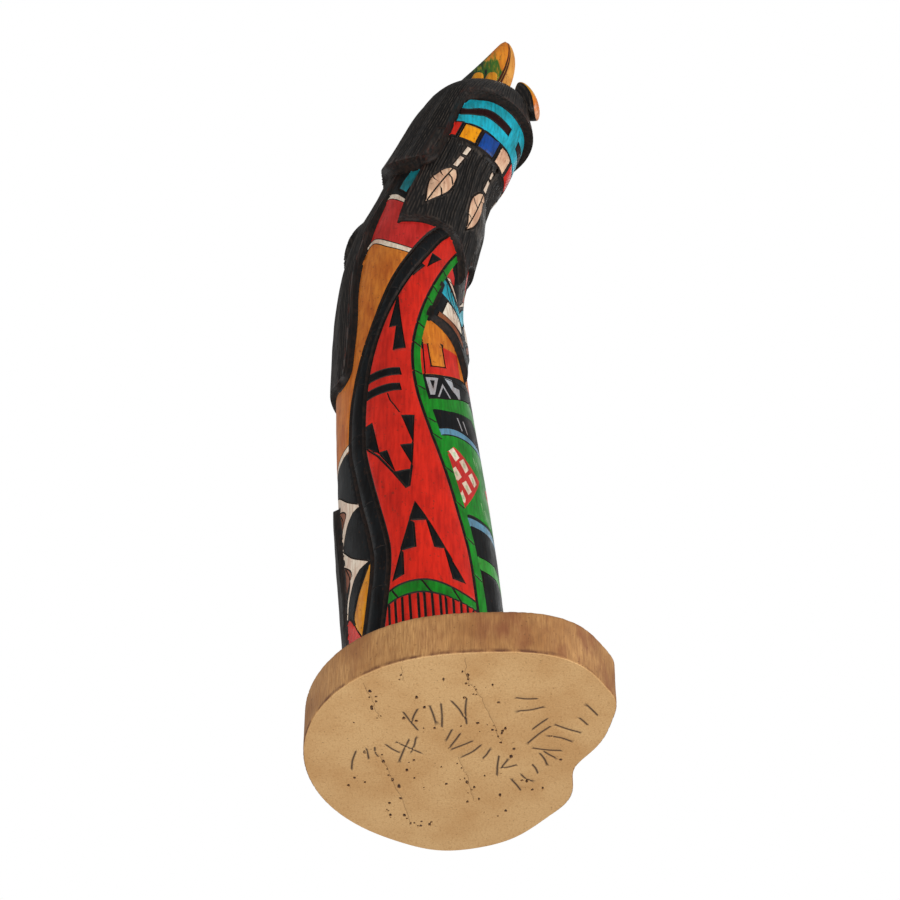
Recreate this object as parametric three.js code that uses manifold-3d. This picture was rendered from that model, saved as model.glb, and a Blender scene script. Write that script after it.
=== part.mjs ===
// A carved root doll: one length of cottonwood root shaped as a standing figure wrapped in a robe,
// with a masked head, long hair, a beard and a crown of feathers, on a sawn slab of the same wood.
// Units are millimetres, +Z is up, and the origin is the middle of the slab's underside.

import * as THREE from 'three';
import { mergeVertices } from 'three/addons/utils/BufferGeometryUtils.js';
import Module from 'manifold-3d';

const wasm = await Module();
wasm.setup();

// ---- Driving dimensions ------------------------------------------------------------------------

// The slab: a slice sawn from a branch, so its outline is a circle with a swelling, a flat spot and
// a notch. Each entry is a bump on the circle: where it is, how far it reaches and how wide it is.
const SLAB_RADIUS = 50;
const SLAB_THICKNESS = 17;
const SLAB_WORN_EDGE = 0.6;
const SLAB_FACETS = 96;
const SLAB_BUMPS = [
  { name: 'branch swelling', at: -48, reach: 9.3, spread: 26 },
  { name: 'corner of the swelling', at: -28, reach: 2.2, spread: 8 },
  { name: 'notch', at: 11, reach: -10.9, spread: 19 },
  { name: 'flat beside the notch', at: 46, reach: -5, spread: 20 },
  { name: 'back bulge', at: 97, reach: 1.6, spread: 14 },
];

// The root bends: at each height measured along it, how far it leans from upright towards +X, in
// degrees, and how thick it is, as a half-width.
const ROOT_STATIONS = [
  { along: 0, lean: -2.5, half: 27.6 },
  { along: 60, lean: -4.1, half: 27.1 },
  { along: 120, lean: -4.7, half: 25.6 },
  { along: 170, lean: -1.5, half: 23.6 },
  { along: 205, lean: 5, half: 22.7 },
  { along: 235, lean: 13.2, half: 21.8 },
  { along: 265, lean: 16.4, half: 20.5 },
  { along: 295, lean: 20, half: 20.4 },
  { along: 325, lean: 20, half: 18.4 },
  { along: 350, lean: 18, half: 17.5 },
];
const ROOT_FOOT_X = -9.5;
const ROOT_DEPTH = 0.97; // front to back, as a share of the width
const ROOT_LENGTH = 334;
const DOME_FROM = 308; // the head rounds over above this
const DOME_POWER = 2.4;
const LEVEL_OVER = 20; // the sections turn level over this length, down to the sawn foot

// The figure looks towards +X and a little towards -Y. Angles around the root start at -Y, and
// "aside" is the angle from the middle of the face.
const FACE_ANGLE = 67;

// Reliefs: how far each carved part stands out, how wide its slope is, and where it ends.
const SLOPE = 4;
const HAIR = { lift: 3.7, hemLift: 1, face: 67, flare: 0.2, hem: 254, hemFront: 261, faceFrom: 268 };
const FRINGE = { lift: 4, hem: 307 };
const BEARD = { lift: 2.9, top: 284, halfAngle: 79, hem: 223.5, tip: 202, tipHalfAngle: 20 };
const BACK_HAIR = { lift: 2.3, top: 256, halfAngle: 71, roundFrom: 160, hem: 131 };
const HAIR_KNOT = { lift: 2, halfAngle: 45, low: 204, high: 232 };
const BIB = { lift: 1.8, halfAngle: 42, side: 171, tip: 147, top: 196 };
const FACE_SWELL = { lift: 2.5, aside: 25, spread: 45, low: 272, full: 286 };
const PELT = { lift: 1.9, halfAngle: 43, low: 12, high: 90 };

// The grid that the carving is worked out on: columns around, and the row spacing along the root
// from each height up.
const COLUMNS = 60;
const ROW_SPACING = [
  { from: 0, step: 7.2 },
  { from: 126, step: 5 },
  { from: 246, step: 4.4 },
  { from: 312, step: 3 },
];

// The crown: a tall blade of feathers and two short tufts before it, each a flat leaf that bends
// from its base to its tip, and a petal that lies down over the brow.
const CROWN_FEATHERS = [
  { name: 'blade', base: [1.5, 1, 337], tip: [20.6, 0, 384], half: 14.6, thick: 7.5, turn: 0 },
  { name: 'left tuft', base: [5.5, -12.5, 335], tip: [7.5, -13.5, 345.6], half: 3.4, thick: 3.2, turn: -8 },
  { name: 'right tuft', base: [11, -12.5, 334], tip: [13, -13.5, 345.6], half: 3, thick: 3, turn: 0 },
];
const FEATHER_NARROWING = 0.62;
const FEATHER_BEND = 1.6;
const BROW_PETAL = {
  heading: 80,
  middle: [21.8, -1.9, 330],
  reach: 10.4,
  rise: 18.3,
  from: 140,
  to: -6,
  half: 5.5,
  thick: 4.2,
};

const COLOURS = { wood: 0xc39a63, paint: 0xb3261c };

// ---- The bent root -----------------------------------------------------------------------------

const degrees = THREE.MathUtils.degToRad;
const ease = (low, high, x) => THREE.MathUtils.smoothstep(x, low, high);

// A smooth curve through one property of the stations.
function stationValue(property, along) {
  const last = ROOT_STATIONS.length - 1;
  const slope = (i) => {
    const before = ROOT_STATIONS[Math.max(i - 1, 0)];
    const after = ROOT_STATIONS[Math.min(i + 1, last)];
    return (after[property] - before[property]) / (after.along - before.along);
  };
  let i = 0;
  while (i < last - 1 && ROOT_STATIONS[i + 1].along < along) i += 1;
  const low = ROOT_STATIONS[i];
  const high = ROOT_STATIONS[i + 1];
  const span = high.along - low.along;
  const t = THREE.MathUtils.clamp((along - low.along) / span, 0, 1);
  const rise = t * t * (3 - 2 * t);
  return (
    low[property] * (1 - rise) +
    high[property] * rise +
    slope(i) * span * t * (1 - t) ** 2 -
    slope(i + 1) * span * t * t * (1 - t)
  );
}

// The middle line of the root, walked upwards from the foot in short steps.
const SPINE_STEP = 1;
const SPINE = [new THREE.Vector3(ROOT_FOOT_X, 0, SLAB_THICKNESS)];
for (let along = 0; along < ROOT_LENGTH; along += SPINE_STEP) {
  const lean = degrees(stationValue('lean', along + SPINE_STEP / 2));
  const step = new THREE.Vector3(Math.sin(lean), 0, Math.cos(lean)).multiplyScalar(SPINE_STEP);
  SPINE.push(SPINE.at(-1).clone().add(step));
}

function spinePoint(along) {
  const i = Math.min(Math.floor(along / SPINE_STEP), SPINE.length - 2);
  return SPINE[i].clone().lerp(SPINE[i + 1], along / SPINE_STEP - i);
}

function rootRadius(along) {
  const dome = THREE.MathUtils.clamp((along - DOME_FROM) / (ROOT_LENGTH - DOME_FROM), 0, 1);
  return stationValue('half', along) * Math.sqrt(1 - dome ** DOME_POWER);
}

// ---- The carving on it -------------------------------------------------------------------------

// 1 inside a region, 0 outside it, sloping over SLOPE millimetres across its edge.
const within = (millimetresInside) => ease(-SLOPE / 2, SLOPE / 2, millimetresInside);
const aroundBy = (angle, along) => degrees(angle) * stationValue('half', along);

// How far the surface stands out of the root at an angle aside from the face, at a height along.
function relief(aside, along) {
  const off = Math.abs(aside); // from the face, to either side
  const back = 180 - off; // from the middle of the back

  const hairEdge = HAIR.face + HAIR.flare * (along - HAIR.faceFrom);
  const hairHem = HAIR.hemFront + (HAIR.hem - HAIR.hemFront) * ease(70, 115, off);
  const hair = within(aroundBy(off - hairEdge, along)) * within(along - hairHem);
  const fringe = within(along - FRINGE.hem);

  const tip = Math.max(0, 1 - off / BEARD.tipHalfAngle);
  const beardHem = BEARD.hem + (BEARD.tip - BEARD.hem) * tip ** 0.8;
  const beardLift = BEARD.lift * (1 - 0.75 * ease(BEARD.hem + 20, BEARD.top, along));
  const beard =
    within(aroundBy(BEARD.halfAngle - off, along)) *
    within(along - beardHem) *
    within(BEARD.top - along);

  const rounding = Math.max(0, (BACK_HAIR.roundFrom - along) / (BACK_HAIR.roundFrom - BACK_HAIR.hem));
  const backEdge = BACK_HAIR.halfAngle * Math.sqrt(Math.max(0, 1 - rounding ** 2));
  const backHair =
    within(aroundBy(backEdge - back, along)) *
    within(along - BACK_HAIR.hem) *
    within(BACK_HAIR.top - along);
  const knot =
    within(aroundBy(HAIR_KNOT.halfAngle - back, along)) *
    within(along - HAIR_KNOT.low) *
    within(HAIR_KNOT.high - along);

  const bibHem = BIB.tip + ((BIB.side - BIB.tip) * off) / BIB.halfAngle;
  const bib =
    within(aroundBy(BIB.halfAngle - off, along)) *
    within(along - bibHem) *
    (1 - ease(BIB.tip + 25, BIB.top, along));

  const peltLift = (PELT.lift * (along - PELT.low)) / (PELT.high - PELT.low);
  const pelt =
    within(aroundBy(PELT.halfAngle - back, along)) *
    within(along - PELT.low) *
    within(PELT.high - along);

  const thinning = 1 - 0.6 * ease(DOME_FROM, ROOT_LENGTH, along);
  const hoodLift = HAIR.lift + HAIR.hemLift * (1 - ease(HAIR.hem, HAIR.hem + 30, along));
  const hairLift = Math.max(hoodLift * hair, FRINGE.lift * fringe) * thinning;
  const backLift = BACK_HAIR.lift * backHair + HAIR_KNOT.lift * knot;
  const swell =
    FACE_SWELL.lift *
    Math.exp(-(((aside - FACE_SWELL.aside) / FACE_SWELL.spread) ** 2)) *
    ease(FACE_SWELL.low, FACE_SWELL.full, along) *
    (1 - ease(DOME_FROM + 10, ROOT_LENGTH, along));
  return (
    swell + Math.max(hairLift, beardLift * beard, backLift, BIB.lift * bib, peltLift * pelt)
  );
}

function surfacePoint(aside, along) {
  const around = degrees(FACE_ANGLE + aside);
  const radius = rootRadius(along) + relief(aside, along) * Math.min(1, rootRadius(along) / 6);
  const tilt = degrees(stationValue('lean', along)) * ease(0, LEVEL_OVER, along);
  const across = radius * Math.sin(around);
  return spinePoint(along).add(
    new THREE.Vector3(
      across * Math.cos(tilt),
      -radius * Math.cos(around) * ROOT_DEPTH,
      -across * Math.sin(tilt),
    ),
  );
}

// ---- Closed meshes -----------------------------------------------------------------------------

// Joins rings of points, lowest first and each counter-clockwise seen from above, into one closed
// mesh with a single point at each end.
function closedLoft(rings, lowPole, highPole) {
  const count = rings[0].length;
  const points = [lowPole, ...rings.flat(), highPole];
  const at = (ring, i) => 1 + ring * count + (i % count);
  const faces = [];
  for (let i = 0; i < count; i += 1) {
    faces.push(0, at(0, i + 1), at(0, i));
    faces.push(points.length - 1, at(rings.length - 1, i), at(rings.length - 1, i + 1));
    for (let ring = 0; ring < rings.length - 1; ring += 1) {
      faces.push(at(ring, i), at(ring, i + 1), at(ring + 1, i + 1));
      faces.push(at(ring, i), at(ring + 1, i + 1), at(ring + 1, i));
    }
  }
  const geometry = new THREE.BufferGeometry().setFromPoints(points);
  geometry.setIndex(faces);
  return geometry;
}

function toSolid(geometry) {
  const bare = geometry.clone();
  bare.deleteAttribute('normal');
  bare.deleteAttribute('uv');
  const merged = mergeVertices(bare, 1e-5);
  return new wasm.Manifold(
    new wasm.Mesh({
      numProp: 3,
      vertProperties: new Float32Array(merged.attributes.position.array),
      triVerts: new Uint32Array(merged.index.array),
    }),
  );
}

function toGeometry(solid) {
  const { vertProperties, triVerts } = solid.getMesh();
  const geometry = new THREE.BufferGeometry();
  geometry.setAttribute('position', new THREE.BufferAttribute(vertProperties, 3));
  geometry.setIndex(new THREE.BufferAttribute(triVerts, 1));
  geometry.computeVertexNormals();
  return geometry;
}

// ---- The slab ----------------------------------------------------------------------------------

function slabRadius(angle) {
  return SLAB_BUMPS.reduce((radius, bump) => {
    const away = THREE.MathUtils.euclideanModulo(angle - bump.at + 180, 360) - 180;
    return radius + bump.reach * Math.exp(-((away / bump.spread) ** 2));
  }, SLAB_RADIUS);
}

function makeSlab() {
  const ring = (inset, height) =>
    Array.from({ length: SLAB_FACETS }, (_, i) => {
      const angle = (360 * i) / SLAB_FACETS;
      const radius = slabRadius(angle) - inset;
      return new THREE.Vector3(
        radius * Math.cos(degrees(angle)),
        radius * Math.sin(degrees(angle)),
        height,
      );
    });
  const rings = [
    ring(SLAB_WORN_EDGE, 0),
    ring(0, SLAB_WORN_EDGE),
    ring(0, SLAB_THICKNESS - SLAB_WORN_EDGE),
    ring(SLAB_WORN_EDGE, SLAB_THICKNESS),
  ];
  const geometry = closedLoft(
    rings,
    new THREE.Vector3(0, 0, 0),
    new THREE.Vector3(0, 0, SLAB_THICKNESS),
  );
  geometry.computeBoundingBox();
  const middle = geometry.boundingBox.getCenter(new THREE.Vector3());
  geometry.translate(-middle.x, -middle.y, 0);
  geometry.computeVertexNormals();
  return geometry;
}

// ---- The figure --------------------------------------------------------------------------------

function rowHeights() {
  const heights = [];
  ROW_SPACING.forEach(({ from, step }, i) => {
    const to = ROW_SPACING[i + 1]?.from ?? ROOT_LENGTH - step;
    const count = Math.round((to - from) / step);
    for (let row = 0; row < count; row += 1) heights.push(from + ((to - from) * row) / count);
  });
  return heights;
}

function makeBody() {
  const rings = rowHeights().map((along) =>
    Array.from({ length: COLUMNS }, (_, i) => surfacePoint((360 * i) / COLUMNS - 180, along)),
  );
  return closedLoft(rings, spinePoint(0), spinePoint(ROOT_LENGTH));
}

// A feather: flat sections stacked from its base to its tip, narrowing and bending as they rise.
function makeFeather({ base, tip, half, thick, turn }) {
  const sections = 9;
  const sides = 12;
  const from = new THREE.Vector3(...base);
  const to = new THREE.Vector3(...tip);
  const middle = (t) => {
    const bent = to.clone().lerp(from, (1 - t) ** FEATHER_BEND);
    return bent.setZ(from.z + (to.z - from.z) * t);
  };
  const across = new THREE.Vector3(Math.cos(degrees(turn)), Math.sin(degrees(turn)), 0);
  const through = new THREE.Vector3(-across.y, across.x, 0);
  const rings = Array.from({ length: sections }, (_, k) => {
    const t = k / sections;
    const narrow = (1 - t) ** FEATHER_NARROWING;
    return Array.from({ length: sides }, (__, i) => {
      const angle = (2 * Math.PI * i) / sides;
      return middle(t)
        .addScaledVector(across, half * narrow * Math.cos(angle))
        .addScaledVector(through, (thick / 2) * Math.sqrt(narrow) * Math.sin(angle));
    });
  });
  return closedLoft(rings, middle(0), middle(1));
}

// The petal over the brow: a flat tongue that follows a quarter of an ellipse over the front of the
// head and down, rounded at both ends.
function makeBrowPetal({ heading, middle, reach, rise, from, to, half, thick }) {
  const sections = 10;
  const sides = 10;
  const onArc = (t, extra) => {
    const angle = degrees(from + (to - from) * t);
    return new THREE.Vector3(0, -(reach + extra) * Math.cos(angle), (rise + extra) * Math.sin(angle));
  };
  const rings = Array.from({ length: sections }, (_, k) => {
    const t = (k + 0.5) / sections;
    const narrow = Math.sqrt(1 - (2 * t - 1) ** 4);
    return Array.from({ length: sides }, (__, i) => {
      const angle = (2 * Math.PI * i) / sides;
      const ring = onArc(t, (thick / 2) * narrow * Math.sin(angle));
      return ring.setX(half * narrow * Math.cos(angle));
    });
  });
  const geometry = closedLoft(rings, onArc(0, 0), onArc(1, 0));
  geometry.rotateZ(degrees(heading));
  geometry.translate(...middle);
  return geometry;
}

function makeFigure() {
  let figure = toSolid(makeBody());
  for (const feather of CROWN_FEATHERS) figure = figure.add(toSolid(makeFeather(feather)));
  figure = figure.add(toSolid(makeBrowPetal(BROW_PETAL)));
  return toGeometry(figure);
}

// ---- The two pieces ----------------------------------------------------------------------------

function piece(name, geometry, colour, roughness) {
  const material = new THREE.MeshStandardMaterial({ color: colour, roughness, metalness: 0 });
  const mesh = new THREE.Mesh(geometry, material);
  mesh.name = name;
  return mesh;
}

const doll = new THREE.Group();
doll.add(piece('base', makeSlab(), COLOURS.wood, 0.85));
doll.add(piece('figure', makeFigure(), COLOURS.paint, 0.5));

export default doll;
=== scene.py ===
# %% [markdown]
# # A carved root doll
# A Pueblo carver shapes this kind of doll from one length of cottonwood root, burns the drawing into
# it with a hot point, paints it with thin acrylic and stands it on a slice sawn from a branch. This
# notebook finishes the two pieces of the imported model: `base`, the bare slice, and `figure`, the root.
# The model is in metres with +Z up. Sizes below are in millimetres, as a carver would measure them.

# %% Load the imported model
import math
import random

import bmesh
import bpy
import numpy as np
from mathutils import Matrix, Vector, noise
from mathutils.geometry import delaunay_2d_cdt
from mathutils.kdtree import KDTree


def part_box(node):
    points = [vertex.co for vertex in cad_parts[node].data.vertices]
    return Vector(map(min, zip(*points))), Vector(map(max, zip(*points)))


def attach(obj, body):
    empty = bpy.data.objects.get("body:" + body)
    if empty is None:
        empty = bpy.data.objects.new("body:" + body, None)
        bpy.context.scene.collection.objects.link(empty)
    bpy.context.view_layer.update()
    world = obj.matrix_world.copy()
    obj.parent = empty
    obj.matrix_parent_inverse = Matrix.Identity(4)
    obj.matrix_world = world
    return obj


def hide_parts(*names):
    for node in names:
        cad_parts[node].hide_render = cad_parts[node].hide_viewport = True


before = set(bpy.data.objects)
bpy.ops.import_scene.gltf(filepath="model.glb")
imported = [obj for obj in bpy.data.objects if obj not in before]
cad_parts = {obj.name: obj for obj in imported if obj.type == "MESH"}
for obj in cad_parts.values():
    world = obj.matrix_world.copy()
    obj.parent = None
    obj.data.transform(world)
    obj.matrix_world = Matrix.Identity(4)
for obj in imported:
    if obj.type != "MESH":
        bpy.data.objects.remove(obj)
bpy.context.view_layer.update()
random.seed(7)
MM = 0.001
base_low, base_high = (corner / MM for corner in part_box("base"))
SLAB_THICKNESS = base_high.z
print("slab", [round(side) for side in base_high - base_low], "mm, nodes", sorted(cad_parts))

# %% [markdown]
# ## The camera
# The doll leans back and shows the underside of its slab, so the camera looks up at it at 45 degrees
# from below. A long lens keeps the root from tapering more than the real one does.

# %% Camera
CAMERA_TARGET = Vector((-0.0027, 0, 0.1402))
CAMERA_DISTANCE = 1.0
CAMERA_RISE = math.radians(45)
LENS = 111.1

looking = Vector((0, math.cos(CAMERA_RISE), math.sin(CAMERA_RISE)))
camera = bpy.data.objects.new("camera", bpy.data.cameras.new("camera"))
camera.data.lens = LENS
camera.location = CAMERA_TARGET - looking * CAMERA_DISTANCE
camera.rotation_euler = looking.to_track_quat("-Z", "Y").to_euler()
bpy.context.scene.collection.objects.link(camera)
bpy.context.scene.camera = camera
print("camera at", [round(x, 3) for x in camera.location])

# %% [markdown]
# ## Colours and nodes
# Paint colours are written as sRGB hex values, as a colour card gives them, and one function turns
# them to the linear values that the renderer mixes. One small function adds any node.

# %% Helpers for materials
def linear(hex_colour):
    """The linear RGBA of an sRGB hex colour."""
    shares = [int(hex_colour[i:i + 2], 16) / 255 for i in (1, 3, 5)]
    return [s / 12.92 if s <= 0.04045 else ((s + 0.055) / 1.055) ** 2.4 for s in shares] + [1.0]


def feed(tree, socket, value):
    """Gives a socket a value, or links another node's output to it."""
    if isinstance(value, bpy.types.NodeSocket):
        tree.links.new(value, socket)
    else:
        socket.default_value = value


def add_node(tree, kind, inputs=None, **settings):
    """Adds a node. Inputs are named or numbered sockets, each given a value or another node's output."""
    node = tree.nodes.new("ShaderNode" + kind)
    for name, value in settings.items():
        setattr(node, name, value)
    for key, value in (inputs or {}).items():
        feed(tree, node.inputs[key], value)
    return node


def new_material(name):
    """An empty material: its tree, its principled shader and the object coordinates."""
    material = bpy.data.materials.new(name)
    material.use_nodes = True
    tree = material.node_tree
    where = add_node(tree, "TexCoord").outputs["Object"]
    return material, tree, tree.nodes["Principled BSDF"], where


def ranged(tree, value, low, high, out_low=0.0, out_high=1.0):
    """A value from low to high, carried to another range and held inside it."""
    inputs = {0: value, 1: low, 2: high, 3: out_low, 4: out_high}
    return add_node(tree, "MapRange", inputs).outputs[0]


def patches(tree, where, size, stretch=(1, 1, 1), low=0.35, high=0.65, detail=3.0):
    """Noise with patches of a size in millimetres, stretched by a share per axis, as a 0 to 1 mask."""
    placed = add_node(tree, "Mapping", {"Vector": where, "Scale": [1 / s for s in stretch]})
    inputs = {"Vector": placed.outputs[0], "Scale": 1 / (size * MM), "Detail": detail}
    cloud = add_node(tree, "TexNoise", inputs).outputs[0]
    return ranged(tree, cloud, low, high)


def mixed(tree, share, first, second, blend="MIX"):
    """One colour changing to another by a share, or blended with it."""
    inputs = {0: share, 6: first, 7: second}
    return add_node(tree, "Mix", inputs, data_type="RGBA", blend_type=blend).outputs[2]


def times(tree, value, factor):
    """A mask made weaker or stronger by a number or by another mask."""
    return add_node(tree, "Math", {0: value, 1: factor}, operation="MULTIPLY").outputs[0]


def attribute(tree, name):
    """A number kept on the mesh, as a node's output."""
    return add_node(tree, "Attribute", attribute_name=name).outputs["Fac"]


def finish_shader(tree, shader, colour, roughness, gloss, relief=None, strength=0.3, depth=0.1):
    """Sets a shader's colour, roughness and gloss, and a fine relief of a depth in millimetres."""
    feed(tree, shader.inputs["Base Color"], colour)
    feed(tree, shader.inputs["Roughness"], roughness)
    feed(tree, shader.inputs["Specular IOR Level"], gloss)
    if relief:
        bump = add_node(tree, "Bump", {"Height": relief, "Strength": strength, "Distance": depth * MM})
        tree.links.new(bump.outputs[0], shader.inputs["Normal"])

# %% [markdown]
# ## Bare cottonwood
# The slab is sawn and lightly sanded, with no finish. To the eye it is pale tan and matt, with short
# fibres running up through its thickness, darker and redder patches where hands and bark have marked
# the rim, and pepper-fine open pores. Fibres are noise stretched along Z. A wood texture with rings
# would be wrong here, because cottonwood root shows hardly any.

# %% Material: bare cottonwood
def bare_cottonwood():
    material, tree, shader, where = new_material("bare_cottonwood")
    fibres = patches(tree, where, 0.55, (1, 1, 9), 0.3, 0.7)
    speckle = patches(tree, where, 0.8, (1, 1.8, 3), 0.52, 0.7)
    clouds = patches(tree, where, 22, (1, 1, 1), 0.4, 0.62)
    stains = patches(tree, where, 9, (1, 1, 1.6), 0.5, 0.72, 6.0)
    pores = patches(tree, where, 0.9, (1, 1, 1), 0.66, 0.7)
    apart = add_node(tree, "SeparateXYZ", {0: where})
    on_rim = ranged(tree, apart.outputs[2], 0.05 * MM, 0.4 * MM)
    under = mixed(tree, clouds, linear("#DDB27A"), linear("#CFA068"))
    side = mixed(tree, clouds, linear("#C4935A"), linear("#A06E3C"))
    colour = mixed(tree, on_rim, under, side)
    fibrous = times(tree, fibres, ranged(tree, on_rim, 0, 1, 0.22, 0.7))
    colour = mixed(tree, fibrous, colour, linear("#80542C"))
    colour = mixed(tree, times(tree, speckle, 0.3), colour, linear("#A06A34"))
    handled = ranged(tree, apart.outputs[0], -10 * MM, 35 * MM, 0.4, 1)
    stained = times(tree, times(tree, stains, on_rim), handled)
    colour = mixed(tree, stained, colour, linear("#7A4022"))
    lip = ranged(tree, apart.outputs[2], 1.8 * MM, 0.5 * MM)
    bruises = patches(tree, where, 5, (1, 1, 1), 0.42, 0.6, 6.0)
    bruised_lip = times(tree, times(tree, lip, on_rim), bruises)
    colour = mixed(tree, bruised_lip, colour, linear("#5E3418"))
    colour = mixed(tree, times(tree, pores, 0.5), colour, linear("#5A3A1C"))
    # Darker where the mesh says: pencil strokes, and painted shade in the floors of pits and cracks
    colour = mixed(tree, attribute(tree, "dark"), colour, linear("#20161A"))
    finish_shader(tree, shader, colour, 0.78, 0.5, fibres, 0.35, 0.15)
    return material


wood = bare_cottonwood()
print("material", wood.name)

# %% [markdown]
# ## Marking out a sheet
# Everything drawn on this doll is cut into it: a burnt line is a real V-shaped groove, and paint
# stops at it. There are three ways to get such edges. A picture in a texture needs no mesh but leaves
# the surface flat. A fine grid pushed in along the lines gives stepped edges. Cutting every line into
# the mesh gives a crisp groove for few faces, so that is the way used here. No bmesh operator cuts
# free curves into a surface, so a flat sheet is marked out first, as a carver rolls a paper pattern
# round the root, and Blender's constrained Delaunay triangulation meshes it with an edge along every
# line. The sheet is wrapped round the wood afterwards.

# %% Lines on a sheet
def smooth(points, pieces=5, closed=False):
    """A curve that runs through a few points, as a flexible ruler laid on them would."""
    p = np.array(points, float)
    before = np.roll(p, 1, 0) if closed else np.vstack([2 * p[0] - p[1], p[:-1]])
    after = np.roll(p, -1, 0) if closed else np.vstack([p[1:], 2 * p[-1] - p[-2]])
    slopes = (after - before) / 2
    passed = []
    for i in range(len(p) if closed else len(p) - 1):
        j = (i + 1) % len(p)
        for t in np.arange(pieces) / pieces:
            blend = t * t * (3 - 2 * t)
            bow = slopes[i] * t * (1 - t) ** 2 - slopes[j] * t * t * (1 - t)
            passed.append(p[i] * (1 - blend) + p[j] * blend + bow)
    return np.array(passed if closed else passed + [p[-1]])


def ring(line):
    """A closed line that ends where it began."""
    return np.vstack([line, line[:1]])


def beside(line, distance, closed=False):
    """The line beside another one, to its left for a positive distance."""
    before = np.roll(line, 1, 0) if closed else np.vstack([2 * line[0] - line[1], line[:-1]])
    after = np.roll(line, -1, 0) if closed else np.vstack([line[1:], 2 * line[-1] - line[-2]])
    left = []
    for step in (line - before, after - line):
        unit = step / np.maximum(np.linalg.norm(step, axis=1), 1e-9)[:, None]
        left.append(np.stack([-unit[:, 1], unit[:, 0]], 1))
    middle = left[0] + left[1]
    middle /= np.maximum(np.linalg.norm(middle, axis=1), 1e-9)[:, None]
    reach = distance / np.maximum((middle * left[1]).sum(1), 0.5)
    return line + middle * reach[:, None]


def resampled(line, step):
    """The same line with a point at least every step millimetres."""
    points = [line[0]]
    for a, b in zip(line[:-1], line[1:]):
        count = max(1, math.ceil(np.linalg.norm(b - a) / step))
        points += [a + (b - a) * k / count for k in range(1, count + 1)]
    return np.array(points)

# %% Inside an outline, and how far from a line
def inside(points, outline):
    """Which points lie inside a closed outline: those with an odd number of its edges to one side."""
    x, y = points.T
    hit = np.zeros(len(points), bool)
    for (x0, y0), (x1, y1) in zip(outline, np.roll(outline, -1, 0)):
        if y0 != y1:
            crossing = x0 + (y - y0) * (x1 - x0) / (y1 - y0)
            hit ^= ((y0 > y) != (y1 > y)) & (x < crossing)
    return hit


def distance_to(points, line):
    """How far each point is from a line."""
    nearest = np.full(len(points), np.inf)
    for a, b in zip(line[:-1], line[1:]):
        span = b - a
        share = np.clip((points - a) @ span / max(span @ span, 1e-12), 0, 1)
        gap = points - a - share[:, None] * span
        nearest = np.minimum(nearest, np.hypot(gap[:, 0], gap[:, 1]))
    return nearest


def ease(low, high, x):
    """0 below low, 1 above high, and a smooth rise between them."""
    t = np.clip((x - low) / (high - low), 0, 1)
    return t * t * (3 - 2 * t)

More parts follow.
